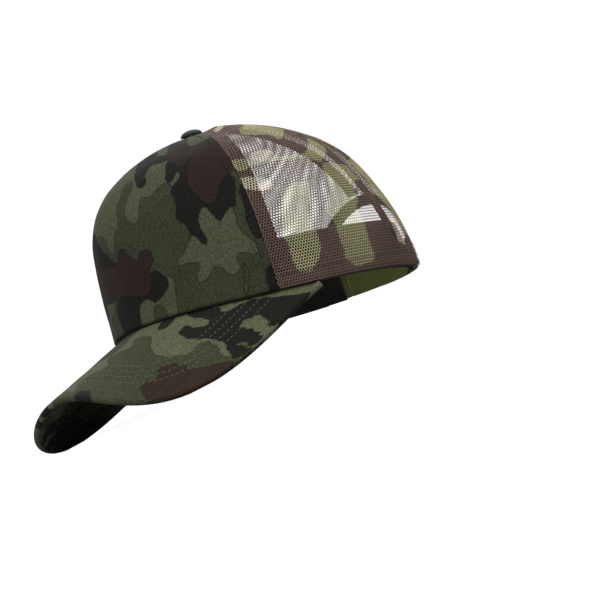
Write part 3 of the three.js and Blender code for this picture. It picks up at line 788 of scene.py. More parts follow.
class Groups:
    """The shader groups that the cap's finishes share."""

    def __init__(self) -> None:
        """Builds each group once."""
        self.camouflage = self._camouflage()
        self.nap = self._nap()
        self.knit = self._knit()

    @staticmethod
    def _camouflage() -> bpy.types.NodeTree:
        """The print: a ground colour under four inks, each with a thin darker outline."""
        white = (1.0, 1.0, 1.0, 1.0)
        inks = ("Mid", "Light", "Cream", "Brown", "Black")
        inputs = {"Ground": (Socket.COLOR, white)}
        inputs.update({ink: (Socket.COLOR, white) for ink in inks})
        inputs["Outline"] = (Socket.VALUE, 0.3)
        tree, n, given, out = new_group("camouflage_print", inputs, {"Color": Socket.COLOR})
        place = n.add("ShaderNodeTexCoord").outputs["Object"]
        ragged = n.span(n.noise(place, 900.0, 2.0, 0.6), 0.3, 0.7, -0.35, 0.35)
        color = given["Ground"]
        for ink in ("Light", "Mid", "Cream", "Brown", "Black"):
            edge = n.math("ADD", n.field(f"ink_{ink.lower()}"), ragged)
            color = n.mix(n.span(edge, -0.3, 0.3), color, given[ink])
            line = n.span(n.math("ABSOLUTE", edge), 0.15, 0.75, 1.0, 0.0)
            dark = n.mix(1.0, color, (0.35, 0.35, 0.35, 1.0), "MULTIPLY")
            color = n.mix(n.math("MULTIPLY", line, given["Outline"]), color, dark)
        n.feed(out["Color"], color)
        return tree

    @staticmethod
    def _nap() -> bpy.types.NodeTree:
        """A brushed cloth's nap: fine light and dark fibres, slow blotches and a height."""
        tree, n, given, out = new_group(
            "brushed_nap",
            {"Color": (Socket.COLOR, (1.0, 1.0, 1.0, 1.0)), "Grain": (Socket.VALUE, 0.25),
             "Blotch": (Socket.VALUE, 0.12)},
            {"Color": Socket.COLOR, "Height": Socket.VALUE})
        place = n.add("ShaderNodeTexCoord").outputs["Object"]
        fine = n.noise(place, 850.0, 3.0, 0.7)
        coarse = n.noise(place, 420.0, 2.0, 0.6)
        slow = n.noise(place, 28.0, 2.0, 0.5)
        grain = n.math("MULTIPLY", n.span(fine, 0.25, 0.75, -1.0, 1.0), given["Grain"])
        blotch = n.math("MULTIPLY", n.span(slow, 0.3, 0.7, -1.0, 1.0), given["Blotch"])
        shade = n.math("ADD", n.math("ADD", grain, blotch), 1.0)
        grey = n.add("ShaderNodeCombineColor")
        for k in range(3):
            n.feed(grey.inputs[k], shade)
        n.feed(out["Color"], n.mix(1.0, given["Color"], grey.outputs[0], "MULTIPLY"))
        n.feed(out["Height"], n.math("ADD", n.math("MULTIPLY", fine, 0.5), n.math("MULTIPLY", coarse, 0.5)))
        return tree

    @staticmethod
    def _knit() -> bpy.types.NodeTree:
        """A woven or knitted tape: crossing ribs that follow the piece's own map."""
        tree, n, given, out = new_group(
            "ribbed_weave", {"Pitch": (Socket.VALUE, 0.8)}, {"Rib": Socket.VALUE, "Height": Socket.VALUE})
        flat = n.add("ShaderNodeUVMap", uv_map="UVMap").outputs[0]
        parts = n.add("ShaderNodeSeparateXYZ")
        n.feed(parts.inputs[0], flat)
        turns = n.math("DIVIDE", 6283.19, given["Pitch"])
        across = n.math("SINE", n.math("MULTIPLY", parts.outputs[0], turns))
        along = n.math("SINE", n.math("MULTIPLY", parts.outputs[1], turns))
        rib = n.math("MULTIPLY", across, along)
        n.feed(out["Rib"], rib)
        n.feed(out["Height"], n.math("ADD", n.math("MULTIPLY", rib, 0.5), 0.5))
        return tree


# ---------------------------------------------------------------- finishes


def start_material(name: str) -> tuple[bpy.types.Material, Nodes, bpy.types.Node]:
    """Makes an empty material with its Principled shader.

    Args:
        name: The material's name.

    Returns:
        The material, its node helper and its shader.
    """
    material = bpy.data.materials.new(name)
    material.use_nodes = True
    nodes = Nodes(material.node_tree)
    return material, nodes, material.node_tree.nodes["Principled BSDF"]


def place_group(nodes: Nodes, tree: bpy.types.NodeTree, **values: object) -> bpy.types.Node:
    """Places a shader group in a material.

    Args:
        nodes: The material's helper.
        tree: The group.
        **values: Its inputs, with spaces written as underscores.

    Returns:
        The group node.
    """
    node = nodes.add("ShaderNodeGroup", node_tree=tree)
    for key, value in values.items():
        nodes.feed(node.inputs[key.replace("_", " ")], value)
    return node


def add_bump(nodes: Nodes, shader: bpy.types.Node, height: bpy.types.NodeSocket, strength: float,
             distance: float) -> None:
    """Joins a height to a shader's normal."""
    bump = nodes.add("ShaderNodeBump")
    nodes.feed(bump.inputs["Strength"], strength)
    nodes.feed(bump.inputs["Distance"], distance * MM)
    nodes.feed(bump.inputs["Height"], height)
    nodes.feed(shader.inputs["Normal"], bump.outputs[0])


@dataclass(frozen=True)
class CamoCloth:
    """Brushed cloth with the printed camouflage.

    Attributes:
        name: The material's name.
        ground: The colour under the inks.
        mid: The mid green.
        light: The light green.
        brown: The brown.
        black: The black.
        grain: How strongly the nap mottles it.
    """

    name: str
    ground: Color
    mid: Color
    light: Color
    brown: Color
    black: Color
    grain: float = 0.7

    def build(self, groups: Groups) -> bpy.types.Material:
        """Makes the material."""
        material, n, shader = start_material(self.name)
        ink = place_group(n, groups.camouflage, Ground=self.ground, Mid=self.mid, Light=self.light,
                          Cream=self.light,
                          Brown=self.brown, Black=self.black, Outline=0.7)
        nap = place_group(n, groups.nap, Color=ink.outputs["Color"], Grain=self.grain, Blotch=0.08)
        n.feed(shader.inputs["Base Color"], nap.outputs["Color"])
        shader.inputs["Roughness"].default_value = 0.85
        shader.inputs["Specular IOR Level"].default_value = 0.12
        shader.inputs["Sheen Weight"].default_value = 0.04
        shader.inputs["Sheen Roughness"].default_value = 0.5
        add_bump(n, shader, nap.outputs["Height"], 0.5, 0.25)
        return material


@dataclass(frozen=True)
class NetYarn:
    """Shiny filament yarn of the net, printed in lime, cream, brown and black."""

    name: str = "net_yarn"
    brown: Color = tone(112, 88, 76)
    lime: Color = tone(178, 174, 128)
    cream: Color = tone(214, 204, 176)
    black: Color = tone(40, 34, 30)

    def build(self, groups: Groups) -> bpy.types.Material:
        """Makes the material."""
        material, n, shader = start_material(self.name)
        ink = place_group(n, groups.camouflage, Ground=self.brown, Mid=self.lime, Light=self.lime,
                          Cream=self.cream,
                          Brown=self.brown, Black=self.black, Outline=0.0)
        nap = place_group(n, groups.nap, Color=ink.outputs["Color"], Grain=0.35, Blotch=0.15)
        n.feed(shader.inputs["Base Color"], nap.outputs["Color"])
        shader.inputs["Roughness"].default_value = 0.5
        shader.inputs["Specular IOR Level"].default_value = 0.5
        add_bump(n, shader, nap.outputs["Height"], 0.5, 0.15)
        return material


@dataclass(frozen=True)
class WovenBand:
    """A plain woven or knitted band, such as tape, hem, sweatband and lining.

    Attributes:
        name: The material's name.
        color: Its colour.
        pitch: The pitch of its ribs, in millimetres.
        rib_shading: How much lighter the ribs' crowns are painted and how much darker their hollows, as
            painted highlight and painted shade.
        rough: Its roughness.
    """

    name: str
    color: Color
    pitch: float = 0.9
    rib_shading: float = 0.35
    rough: float = 0.85

    def build(self, groups: Groups) -> bpy.types.Material:
        """Makes the material."""
        material, n, shader = start_material(self.name)
        weave = place_group(n, groups.knit, Pitch=self.pitch)
        # Painted highlight on the ribs' crowns and painted shade in the hollows between them, following the
        # ribs that also drive the bump.
        rib_highlight_tone = tuple(min(1.0, c * (1 + self.rib_shading)) for c in self.color[:3]) + (1.0,)
        rib_shade_tone = tuple(c * (1 - self.rib_shading) for c in self.color[:3]) + (1.0,)
        color = n.mix(n.span(weave.outputs["Rib"], -0.7, 0.7), rib_shade_tone, rib_highlight_tone)
        nap = place_group(n, groups.nap, Color=color, Grain=0.2, Blotch=0.1)
        n.feed(shader.inputs["Base Color"], nap.outputs["Color"])
        shader.inputs["Roughness"].default_value = self.rough
        shader.inputs["Sheen Weight"].default_value = 0.15
        add_bump(n, shader, weave.outputs["Height"], 0.6, 0.3)
        return material


@dataclass(frozen=True)
class Thread:
    """Twisted sewing thread."""

    name: str
    color: Color

    def build(self, groups: Groups) -> bpy.types.Material:
        """Makes the material."""
        material, n, shader = start_material(self.name)
        nap = place_group(n, groups.nap, Color=self.color, Grain=0.3, Blotch=0.1)
        n.feed(shader.inputs["Base Color"], nap.outputs["Color"])
        shader.inputs["Roughness"].default_value = 0.6
        add_bump(n, shader, nap.outputs["Height"], 0.4, 0.1)
        return material


@dataclass(frozen=True)
class MouldedPlastic:
    """Moulded plastic with a fine spark texture, paler where it is rubbed."""

    name: str
    color: Color
    rough: float = 0.42

    def build(self, groups: Groups) -> bpy.types.Material:
        """Makes the material."""
        material, n, shader = start_material(self.name)
        place = n.add("ShaderNodeTexCoord").outputs["Object"]
        cloud = n.noise(place, 60.0, 3.0)
        worn = n.noise(place, 240.0, 4.0, 0.7)
        pale = tuple(min(1.0, c * 1.25 + 0.01) for c in self.color[:3]) + (1.0,)
        color = n.mix(n.span(cloud, 0.3, 0.7, 0.0, 0.6), self.color, pale)
        n.feed(shader.inputs["Base Color"], n.mix(n.span(worn, 0.6, 0.75, 0.0, 0.35), color, pale))
        n.feed(shader.inputs["Roughness"], n.span(worn, 0.3, 0.7, self.rough - 0.06, self.rough + 0.1))
        add_bump(n, shader, n.noise(place, 2600.0, 2.0), 0.25, 0.05)
        return material


@dataclass(frozen=True)
class TackMetal:
    """The button's plain steel tack, brushed and slightly stained."""

    name: str = "tack_steel"

    def build(self, groups: Groups) -> bpy.types.Material:
        """Makes the material."""
        material, n, shader = start_material(self.name)
        place = n.add("ShaderNodeTexCoord").outputs["Object"]
        stain = n.noise(place, 300.0, 4.0, 0.6)
        n.feed(shader.inputs["Base Color"],
               n.mix(n.span(stain, 0.4, 0.7), tone(150, 152, 155), tone(110, 108, 104)))
        shader.inputs["Metallic"].default_value = 0.95
        n.feed(shader.inputs["Roughness"], n.span(stain, 0.3, 0.7, 0.3, 0.5))
        return material


class Finish(Enum):
    """Every finish of the cap, by its maker's name."""

    FRONT = CamoCloth("front_camo_cloth", tone(50, 54, 38), tone(50, 54, 38), tone(69, 72, 54),
                      tone(39, 29, 25), tone(21, 21, 18))
    BRIM = CamoCloth("brim_camo_cloth", tone(86, 88, 67), tone(59, 62, 44), tone(90, 93, 72),
                     tone(48, 37, 30), tone(26, 25, 22))
    NET = NetYarn()
    TAPE = WovenBand("seam_tape_weave", tone(27, 22, 20), 1.1)
    HEM = WovenBand("folded_net_hem", tone(52, 42, 34), 2.0, 0.5)
    SWEATBAND = WovenBand("sweatband_terry", tone(24, 24, 21), 1.3, 0.3)
    LINING = WovenBand("foam_lining_tricot", tone(52, 52, 49), 1.0, 0.25)
    BOARD = MouldedPlastic("brim_board_plastic", tone(205, 205, 200), 0.5)
    BUTTON = WovenBand("button_cloth", tone(26, 27, 25), 0.7, 0.3, 0.7)
    BRIM_THREAD = Thread("brim_thread", tone(104, 104, 92))
    DARK_THREAD = Thread("seam_thread", tone(30, 29, 26))
    SNAP = MouldedPlastic("snap_strap_plastic", tone(118, 128, 64))
    TACK = TackMetal()


class Wardrobe:
    """Makes each finish's material once and hands it out."""

    def __init__(self) -> None:
        """Builds the shared groups."""
        self.groups = Groups()
        self.made: dict[Finish, bpy.types.Material] = {}

    def dress(self, piece: bpy.types.Object, finish: Finish) -> None:
        """Gives a piece a finish, in every slot it has."""
        if finish not in self.made:
            self.made[finish] = finish.value.build(self.groups)
        if not piece.data.materials:
            piece.data.materials.append(self.made[finish])
        for k in range(len(piece.data.materials)):
            piece.data.materials[k] = self.made[finish]


def settle(piece: bpy.types.Object, body: str, slot: str, *stands_for: str) -> None:
    """Ties a piece to its body, and to the nodes that it stands for.

    Args:
        piece: The piece.
        body: The body it moves with.
        slot: The record's material slot; not used.
        *stands_for: The nodes it replaces.
    """
    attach(piece, body)
    if stands_for:
        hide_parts(*stands_for)
    LOG.info("%s: %d points on %s", piece.name, len(piece.data.vertices) if piece.type == "MESH" else 0, body)


# ---------------------------------------------------------------- sub-assemblies


@dataclass
class CrownCloth:
    """The front panel: printed cloth over foam, turned in at its edges, with stitching by each seam."""

    crown: CrownShape
    place: CapFrame
    wardrobe: Wardrobe
    cloth: float = 1.0
    foam_near: float = 1.3
    foam: float = 3.0
    seam_gap: float = 0.15
    stitch_inset: float = 5.0

    def grid(self, wide: int, high: int, margin: float, top: float) -> tuple[Grid, Grid, PanelMap]:
        """A grid of angles and rises over the front panel, a margin inside its seams.

        Args:
            wide: How many columns.
            high: How many rows.
            margin: How far inside each seam it ends, in millimetres.
            top: The last row's rise.

        Returns:
            The angles, the rises and the panel's map.
        """
        chart = PanelMap(self.crown, 0.0, -self.crown.front_seam, self.crown.front_seam)
        rises = chart.rise_at(np.linspace(0, chart.up_at(top), high))
        u = np.empty((wide, high))
        for j, rise in enumerate(rises):
            turns, run = chart.ring(float(rise))
            u[:, j] = np.interp(np.linspace(run[0] + margin, run[-1] - margin, wide), run, turns)
        return u, rises, chart

    def build_cloth(self) -> None:
        """Makes the outer cloth with its turned-in edges, soft unevenness and print."""
        u, rises, chart = self.grid(190, 150, self.seam_gap, 1.0)
        rise = np.broadcast_to(rises, u.shape)
        x, y = chart.x_at(u, rises), np.broadcast_to(chart.up_at(rises), u.shape)
        side = np.minimum(x - x.min(axis=0), x.max(axis=0) - x)
        drop = rounded(side, 0.8) * 0.9 + rounded(y, 0.8) * 0.9
        row = np.exp(-(((side - self.stitch_inset) / 0.7) ** 2)) * 0.25
        soft = 0.35 * wander(x, y, 60.0, 71) + 0.18 * wander(x, y, 24.0, 73)
        soft = (soft - 0.5) * np.clip(side / 12, 0, 1) * np.clip(y / 15, 0, 1) * np.clip((150 - y) / 20, 0, 1)
        outer = self.crown.inside(u, rise, drop + row - soft * 0.9)
        inner = self.crown.inside(u, rise, np.full(u.shape, self.cloth))
        piece = shell_object("front_panel_cloth", self.place.place(outer), self.place.place(inner))
        both = lambda grid: np.concatenate([grid.ravel(), grid.ravel()])
        for name, values in FRONT_PRINT.fields(x + FRONT_PRINT_SHIFT[0], y + FRONT_PRINT_SHIFT[1]).items():
            set_field(piece, name, both(values))
        set_map(piece, both(x), both(y))
        self.wardrobe.dress(piece, Finish.FRONT)
        settle(piece, "crown", "front_cloth", "front_panel")

    def build_foam(self) -> None:
        """Makes the foam with its knitted lining."""
        top = self.crown.knee + 0.5 * (1 - self.crown.knee)
        u, rises, chart = self.grid(90, 70, 10.0, top)
        rise = np.broadcast_to(rises, u.shape)
        x, y = chart.x_at(u, rises), np.broadcast_to(chart.up_at(rises), u.shape)
        side = np.minimum(x - x.min(axis=0), x.max(axis=0) - x)
        thin = rounded(np.minimum(side, np.minimum(y, y.max() - y) + 0.2), 2.2) * 0.6
        outer = self.crown.inside(u, rise, np.full(u.shape, self.foam_near))
        inner = self.crown.inside(u, rise, self.foam_near + self.foam - thin + 0.15 * wander(x, y, 20.0, 79))
        piece = shell_object("front_foam_lining", self.place.place(outer), self.place.place(inner))
        both = lambda grid: np.concatenate([grid.ravel(), grid.ravel()])
        set_map(piece, both(x), both(y))
        self.wardrobe.dress(piece, Finish.LINING)
        settle(piece, "crown", "foam", "front_foam")

    def build_stitches(self) -> None:
        """Makes the stitched row beside each front seam."""
        lines = []
        chart = PanelMap(self.crown, 0.0, -self.crown.front_seam, self.crown.front_seam)
        rises = chart.rise_at(np.linspace(2, chart.up_at(0.985), 220))
        for side in Side:
            u = np.empty_like(rises)
            for j, rise in enumerate(rises):
                turns, run = chart.ring(float(rise))
                u[j] = np.interp(side.value * (run[-1] - min(self.stitch_inset, run[-1] * 0.4)), run, turns)
            low, high = self.crown.inside(u, rises, 0.12), self.crown.inside(u, rises, -1.0)
            ways = (high - low) / np.linalg.norm(high - low, axis=1, keepdims=True)
            lines.append((self.place.place(low), ways @ self.place.axes.T))
        piece = stitch_row("front_seam_stitches", lines, 2.6, 0.9, 0.22)
        self.wardrobe.dress(piece, Finish.DARK_THREAD)
        settle(piece, "crown", "front_cloth")

    def build(self) -> None:
        """Makes the whole front."""
        self.build_cloth()
        self.build_foam()
        self.build_stitches()


@dataclass
class NetPanel:
    """One mesh panel: a real hexagonal net cut to the panel's outline.

    Attributes:
        side: The wearer's side.
        back: Whether it is the back panel rather than the side one.
        pitch: The cells' width, in millimetres.
        row: The height from one row of cells to the next.
        yarn: How wide a strand is.
        depth: How thick it is.
    """

    crown: CrownShape
    place: CapFrame
    wardrobe: Wardrobe
    side: Side
    back: bool
    pitch: float = 1.85
    row: float = 1.8
    yarn: float = 0.46
    depth: float = 0.22
    opening_half_width: float = 42.0
    opening_height: float = 50.0
    strap_top: float = 21.0

    @property
    def chart(self) -> PanelMap:
        """The panel's flat map."""
        side_seam = self.crown.side_seam
        seams = (side_seam, math.pi) if self.back else (self.crown.front_seam, side_seam)
        low, high = seams if self.side is Side.LEFT else (-seams[1], -seams[0])
        return PanelMap(self.crown, (low + high) / 2, low, high)

    def in_opening(self, points: Grid, margin: float) -> Grid:
        """Whether points lie in the back opening, or within a margin of it."""
        half, high = self.opening_half_width + margin, self.opening_height + margin - self.strap_top
        x, z = np.abs(points[..., 0]), points[..., 2]
        arch = (x / half) ** 2 + (np.clip(z - self.strap_top, 0, None) / high) ** 2 < 1
        return arch & (points[..., 1] > 0) & (x < half)

    def cells(self) -> tuple[Grid, list, Grid, Grid]:
        """Cuts the net's cells to the panel.

        Returns:
            The points in the crown's frame, the cells' faces, and the flat place of each point.
        """
        chart = self.chart
        top = float(chart.up_at(0.995))
        rows = int(top / self.row)
        columns = int(62 / self.pitch)
        step = 0.37 * self.row
        corners = ((0, -self.row + step), (0.5, -step), (0.5, step), (0, self.row - step), (-0.5, step),
                   (-0.5, -step))
        cells = []
        for k in range(rows + 1):
            for j in range(-columns, columns + 1):
                cx, cy = (j + 0.5 * (k % 2)) * self.pitch, k * self.row
                cells.append([(cx + dx * self.pitch, cy + dy) for dx, dy in corners])
        flat = np.array(cells)
        keys = np.round(flat / np.array([self.pitch / 2, self.row / 20])).astype(int).reshape(-1, 2)
        unique, index = np.unique(keys, axis=0, return_inverse=True)
        place = np.zeros((len(unique), 2))
        place[index.ravel()] = flat.reshape(-1, 2)
        faces = index.reshape(-1, 6)
        x, y = place[:, 0], np.clip(place[:, 1], 0.0, top)
        rise = chart.rise_at(y)
        u, overshoot = np.empty_like(x), np.empty_like(x)
        for level in np.unique(rise):
            here = rise == level
            turns, run = chart.ring(float(level))
            clipped = np.clip(x[here], run[0] + 0.35, run[-1] - 0.35)
            overshoot[here] = np.abs(x[here] - clipped)
            u[here] = np.interp(clipped, run, turns)
            x[here] = clipped
        points = self.crown.inside(u, rise, 0.5)
        keep = (overshoot[faces] < 0.75 * self.pitch).all(axis=1) & ((overshoot[faces] > 0).sum(axis=1) < 4)
        keep &= (np.clip(place[faces, 1], 0, top) == place[faces, 1]).sum(axis=1) > 3
        if self.back:
            keep &= ~self.in_opening(points, 0.8)[faces].any(axis=1)
        used, again = np.unique(faces[keep], return_inverse=True)
        return points[used], again.reshape(-1, 6).tolist(), x[used], y[used]

    def strands(self, points: Grid, faces: list) -> tuple[Grid, list, Grid]:
        """Gives each side of the cells a yarn of its own, four-sided and closed.

        Args:
            points: The cells' corners in the crown's frame.
            faces: The cells.

        Returns:
            The yarns' points, their faces, and the corner that each point belongs to.
        """
        loops = np.array(faces)
        pairs = np.sort(np.stack([loops, np.roll(loops, -1, axis=1)], -1).reshape(-1, 2), axis=1)
        pairs = np.unique(pairs, axis=0)
        a, b = points[pairs[:, 0]], points[pairs[:, 1]]
        along = b - a
        size = np.linalg.norm(along, axis=1, keepdims=True)
        kept = size[:, 0] > 0.15
        pairs, a, b, along = pairs[kept], a[kept], b[kept], (along / np.maximum(size, 1e-9))[kept]
        out = (a + b) / 2 - np.array([0.0, -self.crown.top_forward, 10.0])
        out[:, 2] = np.maximum(out[:, 2], 0) * 0.9
        side = np.cross(along, out)
        side /= np.linalg.norm(side, axis=1, keepdims=True)
        out = np.cross(side, along)
        wide, deep = side * self.yarn / 2, out * self.depth / 2
        ring = [wide - deep, wide + deep, deep - wide, -wide - deep]
        made = np.stack([end + way for end in (a, b) for way in ring], 1).reshape(-1, 3)
        quads = [[k, (k + 1) % 4, 4 + (k + 1) % 4, 4 + k] for k in range(4)] + [[3, 2, 1, 0], [4, 5, 6, 7]]
        base = np.arange(len(a))[:, None, None] * 8
        return made, (np.array(quads)[None] + base).reshape(-1,
                                                            4).tolist(), np.repeat(pairs, 4, axis=1).ravel()

    def build(self) -> None:
        """Makes the net."""
        points, faces, x, y = self.cells()
        part = "back" if self.back else "side"
        made, yarns, corner = self.strands(points, faces)
        piece = make_object(f"{part}_net_{self.side.word}", self.place.place(made), yarns)
        mirrored = x if self.side is Side.LEFT else -x
        shift = 0.0 if self.side is Side.LEFT else 23.0
        chosen = BACK_PRINT if self.back else SIDE_PRINT
        for name, values in chosen.fields(mirrored + shift, y).items():
            set_field(piece, name, values[corner])
        set_map(piece, x[corner], y[corner])
        self.wardrobe.dress(piece, Finish.NET)
        chart = self.chart
        _, run = chart.ring(0.0)
        size = (float(run[-1] - run[0]) * MM, float(chart.up_at(1.0)) * MM)
        area = sum(p.area for p in piece.data.polygons) / 2
        LOG.info("%s: yarns cover %.2f of the cut", piece.name, area / self.flat_area())
        self.flat_area()
        settle(piece, "crown", "mesh", f"{part}_panel_{self.side.word}")

    def flat_area(self) -> float:
        """The area of the panel's cut, in square metres, without the back opening."""
        chart = self.chart
        rises = np.linspace(0, 1, 160)
        total = 0.0
        for rise, up in zip(rises, np.gradient(chart.up_at(rises))):
            turns, run = chart.ring(float(rise))
            middle = self.crown.point(turns, np.full(turns.shape, rise))
            share = 1 - self.in_opening(middle, 0).mean() if self.back else 1.0
            total += (run[-1] - run[0]) * up * share
        return total * MM * MM


@dataclass
class CrownLining:
    """What lines the crown: seam tapes, the folded hem, the arch's binding and the sweatband."""

    crown: CrownShape
    place: CapFrame
    wardrobe: Wardrobe
    lining: float = 1.3
    tape: float = 1.0
    tape_width: float = 18.0
    rear_tape_width: float = 10.0
    hem: float = 3.0
    hem_height: float = 10.0
    band_depth: float = 4.6
    band: float = 2.0
    band_height: float = 32.0
    band_drop: float = 5.0
    opening_half_width: float = 42.0
    opening_height: float = 50.0
    strap_top: float = 21.0

    def angle_for(self, length: float, u: float) -> float:
        """The angle that spans a length along the lower edge."""
        return length / math.hypot(self.crown.half_width * math.cos(u), self.crown.half_length * math.sin(u))

    def finish_shell(self, name: str, outer: Grid, inner: Grid, x: Grid, y: Grid) -> bpy.types.Object:
        """Makes a lining piece with its flat map."""
        piece = shell_object(name, self.place.place(outer), self.place.place(inner))
        both = lambda grid: np.concatenate([grid.ravel(), grid.ravel()])
        set_map(piece, both(x), both(y))
        return piece

    def tape_end(self, width: float) -> float:
        """The last rise at which tapes of a width over the rear and back seams would clear each other."""
        for rise in np.linspace(self.crown.knee + 0.6 * (1 - self.crown.knee), self.crown.knee - 0.1, 61):
            apart = np.linalg.norm(self.crown.point(self.crown.side_seam,
                                                    rise) - self.crown.point(math.pi, rise))
            if apart > 1.15 * width + 0.3:
                return float(rise)
        return self.crown.knee - 0.1

    def build_tapes(self) -> None:
        """Makes the woven tape over each seam, with its two stitched rows."""
        seams = {f"seam_tape_front_{s.word}": (s.value * self.crown.front_seam, 0.1) for s in Side}
        seams.update({f"seam_tape_rear_{s.word}": (s.value * self.crown.side_seam, 0.1) for s in Side})
        seams["seam_tape_back"] = (math.pi, (self.opening_height + 9) / self.crown.height)
        for name, (seam, low) in seams.items():
            width = self.tape_width if "front" in name else self.rear_tape_width
            top = self.tape_end(width)
            chart = PanelMap(self.crown, seam, seam - 0.6, seam + 0.6)
            rises = chart.rise_at(np.linspace(chart.up_at(low), chart.up_at(top), 90))
            share = np.linspace(-1, 1, 11)
            u = np.empty((11, 90))
            for j, rise in enumerate(rises):
                turns, run = chart.ring(float(rise))
                u[:, j] = np.interp(share * width / 2, run, turns)
            rise = np.broadcast_to(rises, u.shape)
            crowned = 0.3 * (1 - np.abs(share)[:, None] ** 4)
            outer = self.crown.inside(u, rise, np.full(u.shape, self.lining))
            inner = self.crown.inside(u, rise, self.lining + self.tape - 0.35 + crowned)
            x = np.broadcast_to(share[:, None] * width / 2, u.shape)
            piece = self.finish_shell(name + "_weave", outer, inner, x,
                                      np.broadcast_to(chart.up_at(rises), u.shape))
            self.wardrobe.dress(piece, Finish.TAPE)
            settle(piece, "crown", "tape", name)

    def build_hems(self) -> None:
        """Makes the folded lower edge of the mesh panels."""
        for side in Side:
            low = self.crown.front_seam + self.angle_for(1, self.crown.front_seam)
            high = math.pi - self.angle_for(self.opening_half_width + 14, math.pi)
            share = np.linspace(0, 1, 150)
            turns = (low + (high - low) * share) * side.value
            if side is Side.RIGHT:
                turns = turns[::-1]
            rises = np.linspace(0, self.hem_height / self.crown.height, 12)
            u, rise = np.meshgrid(turns, rises, indexing="ij")
            y = rise * self.crown.height
            round_off = rounded(np.minimum(y, self.hem_height - y), 1.2)
            x = u * 92
            outer = self.crown.inside(u, rise, self.lining + round_off)
            inner = self.crown.inside(u, rise,
                                      self.lining + self.hem - round_off + 0.12 * wander(x, y, 9.0, 83))
            piece = self.finish_shell(f"hem_fold_{side.word}", outer, inner, x, y)
            self.wardrobe.dress(piece, Finish.HEM)
            settle(piece, "crown", "tape", f"hem_{side.word}")

    def build_sweatband(self) -> None:
        """Makes the padded sweatband, rolled at its upper edge and stitched along its lower one."""
        end = math.pi - self.angle_for(self.opening_half_width + 0.5, math.pi)
        u_line = np.linspace(-end, end, 320)
        v = np.concatenate([[-1.0, -0.66, -0.33], np.linspace(0, self.band_height / self.crown.height, 22)])
        u, row = np.meshgrid(u_line, v, indexing="ij")
        share = np.clip((np.abs(u) / self.crown.brim_corner - 0.85) / 0.19, 0, 1)
        front = 1 - share * share * (3 - 2 * share)
        lift = np.where(row < 0, (1 + (-self.band_drop - 1) * front) * -row, 0.0)
        rise = np.clip(row, 0, None)
        y = np.where(row < 0, row * 4, rise * self.crown.height)
        edge = rounded(np.minimum(y - y.min(), self.band_height - y), 0.9)
        pad = 0.25 * wander(u * 92, y, 13.0, 89)
        groove = 0.35 * np.exp(-(((y - 4.0) / 0.6) ** 2))
        outer = self.crown.inside(u, rise, self.band_depth + edge)
        inner = self.crown.inside(u, rise, self.band_depth + self.band - edge - groove + pad)
        outer[..., 2] += lift
        inner[..., 2] += lift
        piece = self.finish_shell("sweatband_terry_band", outer, inner, u * 92, y)
        self.wardrobe.dress(piece, Finish.SWEATBAND)
        settle(piece, "crown", "sweatband_cloth", "sweatband")

    def build_binding(self) -> None:
        """Makes the folded tape that binds the arch over the strap."""
        half, high = self.opening_half_width, self.opening_height - self.strap_top
        steps = np.linspace(0.02, math.pi - 0.02, 130)
        share = np.linspace(0, 1, 9)
        angle, across = np.meshgrid(steps, share, indexing="ij")
        grow = 0.3 + 6.5 * across
        px = (half + grow) * np.cos(angle)
        pz = self.strap_top + 0.5 + (high + grow) * np.sin(angle)
        u = math.pi - px / self.crown.half_width
        rise = pz / self.crown.height
        y_line = self.crown.point(u, rise)
        for _ in range(3):
            u = u + (y_line[..., 0] - px) / self.crown.half_width
            y_line = self.crown.point(u, rise)
        puff = 0.25 * np.sin(math.pi * across)
        outer = self.crown.inside(u, rise, np.full(u.shape, self.lining))
        inner = self.crown.inside(u, rise, self.lining + 0.75 + puff)
        x, y = angle * (half + 20) * 0.9, grow
        piece = self.finish_shell("arch_binding_tape", inner, outer, x, y)
        self.wardrobe.dress(piece, Finish.TAPE)
        settle(piece, "crown", "tape", "arch_binding")

    def build_stitches(self) -> None:
        """Makes the lines of thread that hold the hems and the sewn strap tabs."""
        lines = []
        for side in Side:
            low = self.crown.front_seam + self.angle_for(3, self.crown.front_seam)
            for height, end in ((2.2, math.pi - self.angle_for(self.opening_half_width + 1, math.pi)),
                                (self.hem_height - 1.8,
                                 math.pi - self.angle_for(self.opening_half_width + 9, math.pi))):
                u = np.linspace(low, end, 200) * side.value
                lines.append(self.line(u, np.full(u.shape, height / self.crown.height)))
            for reach in (3.5, 10.5):
                turn = math.pi - self.angle_for(self.opening_half_width + reach, math.pi)
                rise = np.linspace(2.5, self.strap_top - 2.0, 40) / self.crown.height
                lines.append(self.line(np.full(rise.shape, turn * side.value), rise))
        piece = stitch_row("hem_and_tab_stitches", lines, 2.4, 1.0, 0.2)
        self.wardrobe.dress(piece, Finish.DARK_THREAD)
        settle(piece, "crown", "tape")

    def line(self, u: Grid, rise: Grid) -> tuple[Grid, Grid]:
        """A sewing line on the outside of the cap, and the way out at each point."""
        outer = self.crown.point(u, rise)
        way = outer - self.crown.inside(u, rise, np.full(u.shape, 1.0))
        way /= np.linalg.norm(way, axis=-1, keepdims=True)
        return self.place.place(outer + way * 0.1), way @ self.place.axes.T

    def build(self) -> None:
        """Makes all the linings."""
        self.build_stitches()
        self.build_tapes()
        self.build_hems()
        self.build_sweatband()
        self.build_binding()


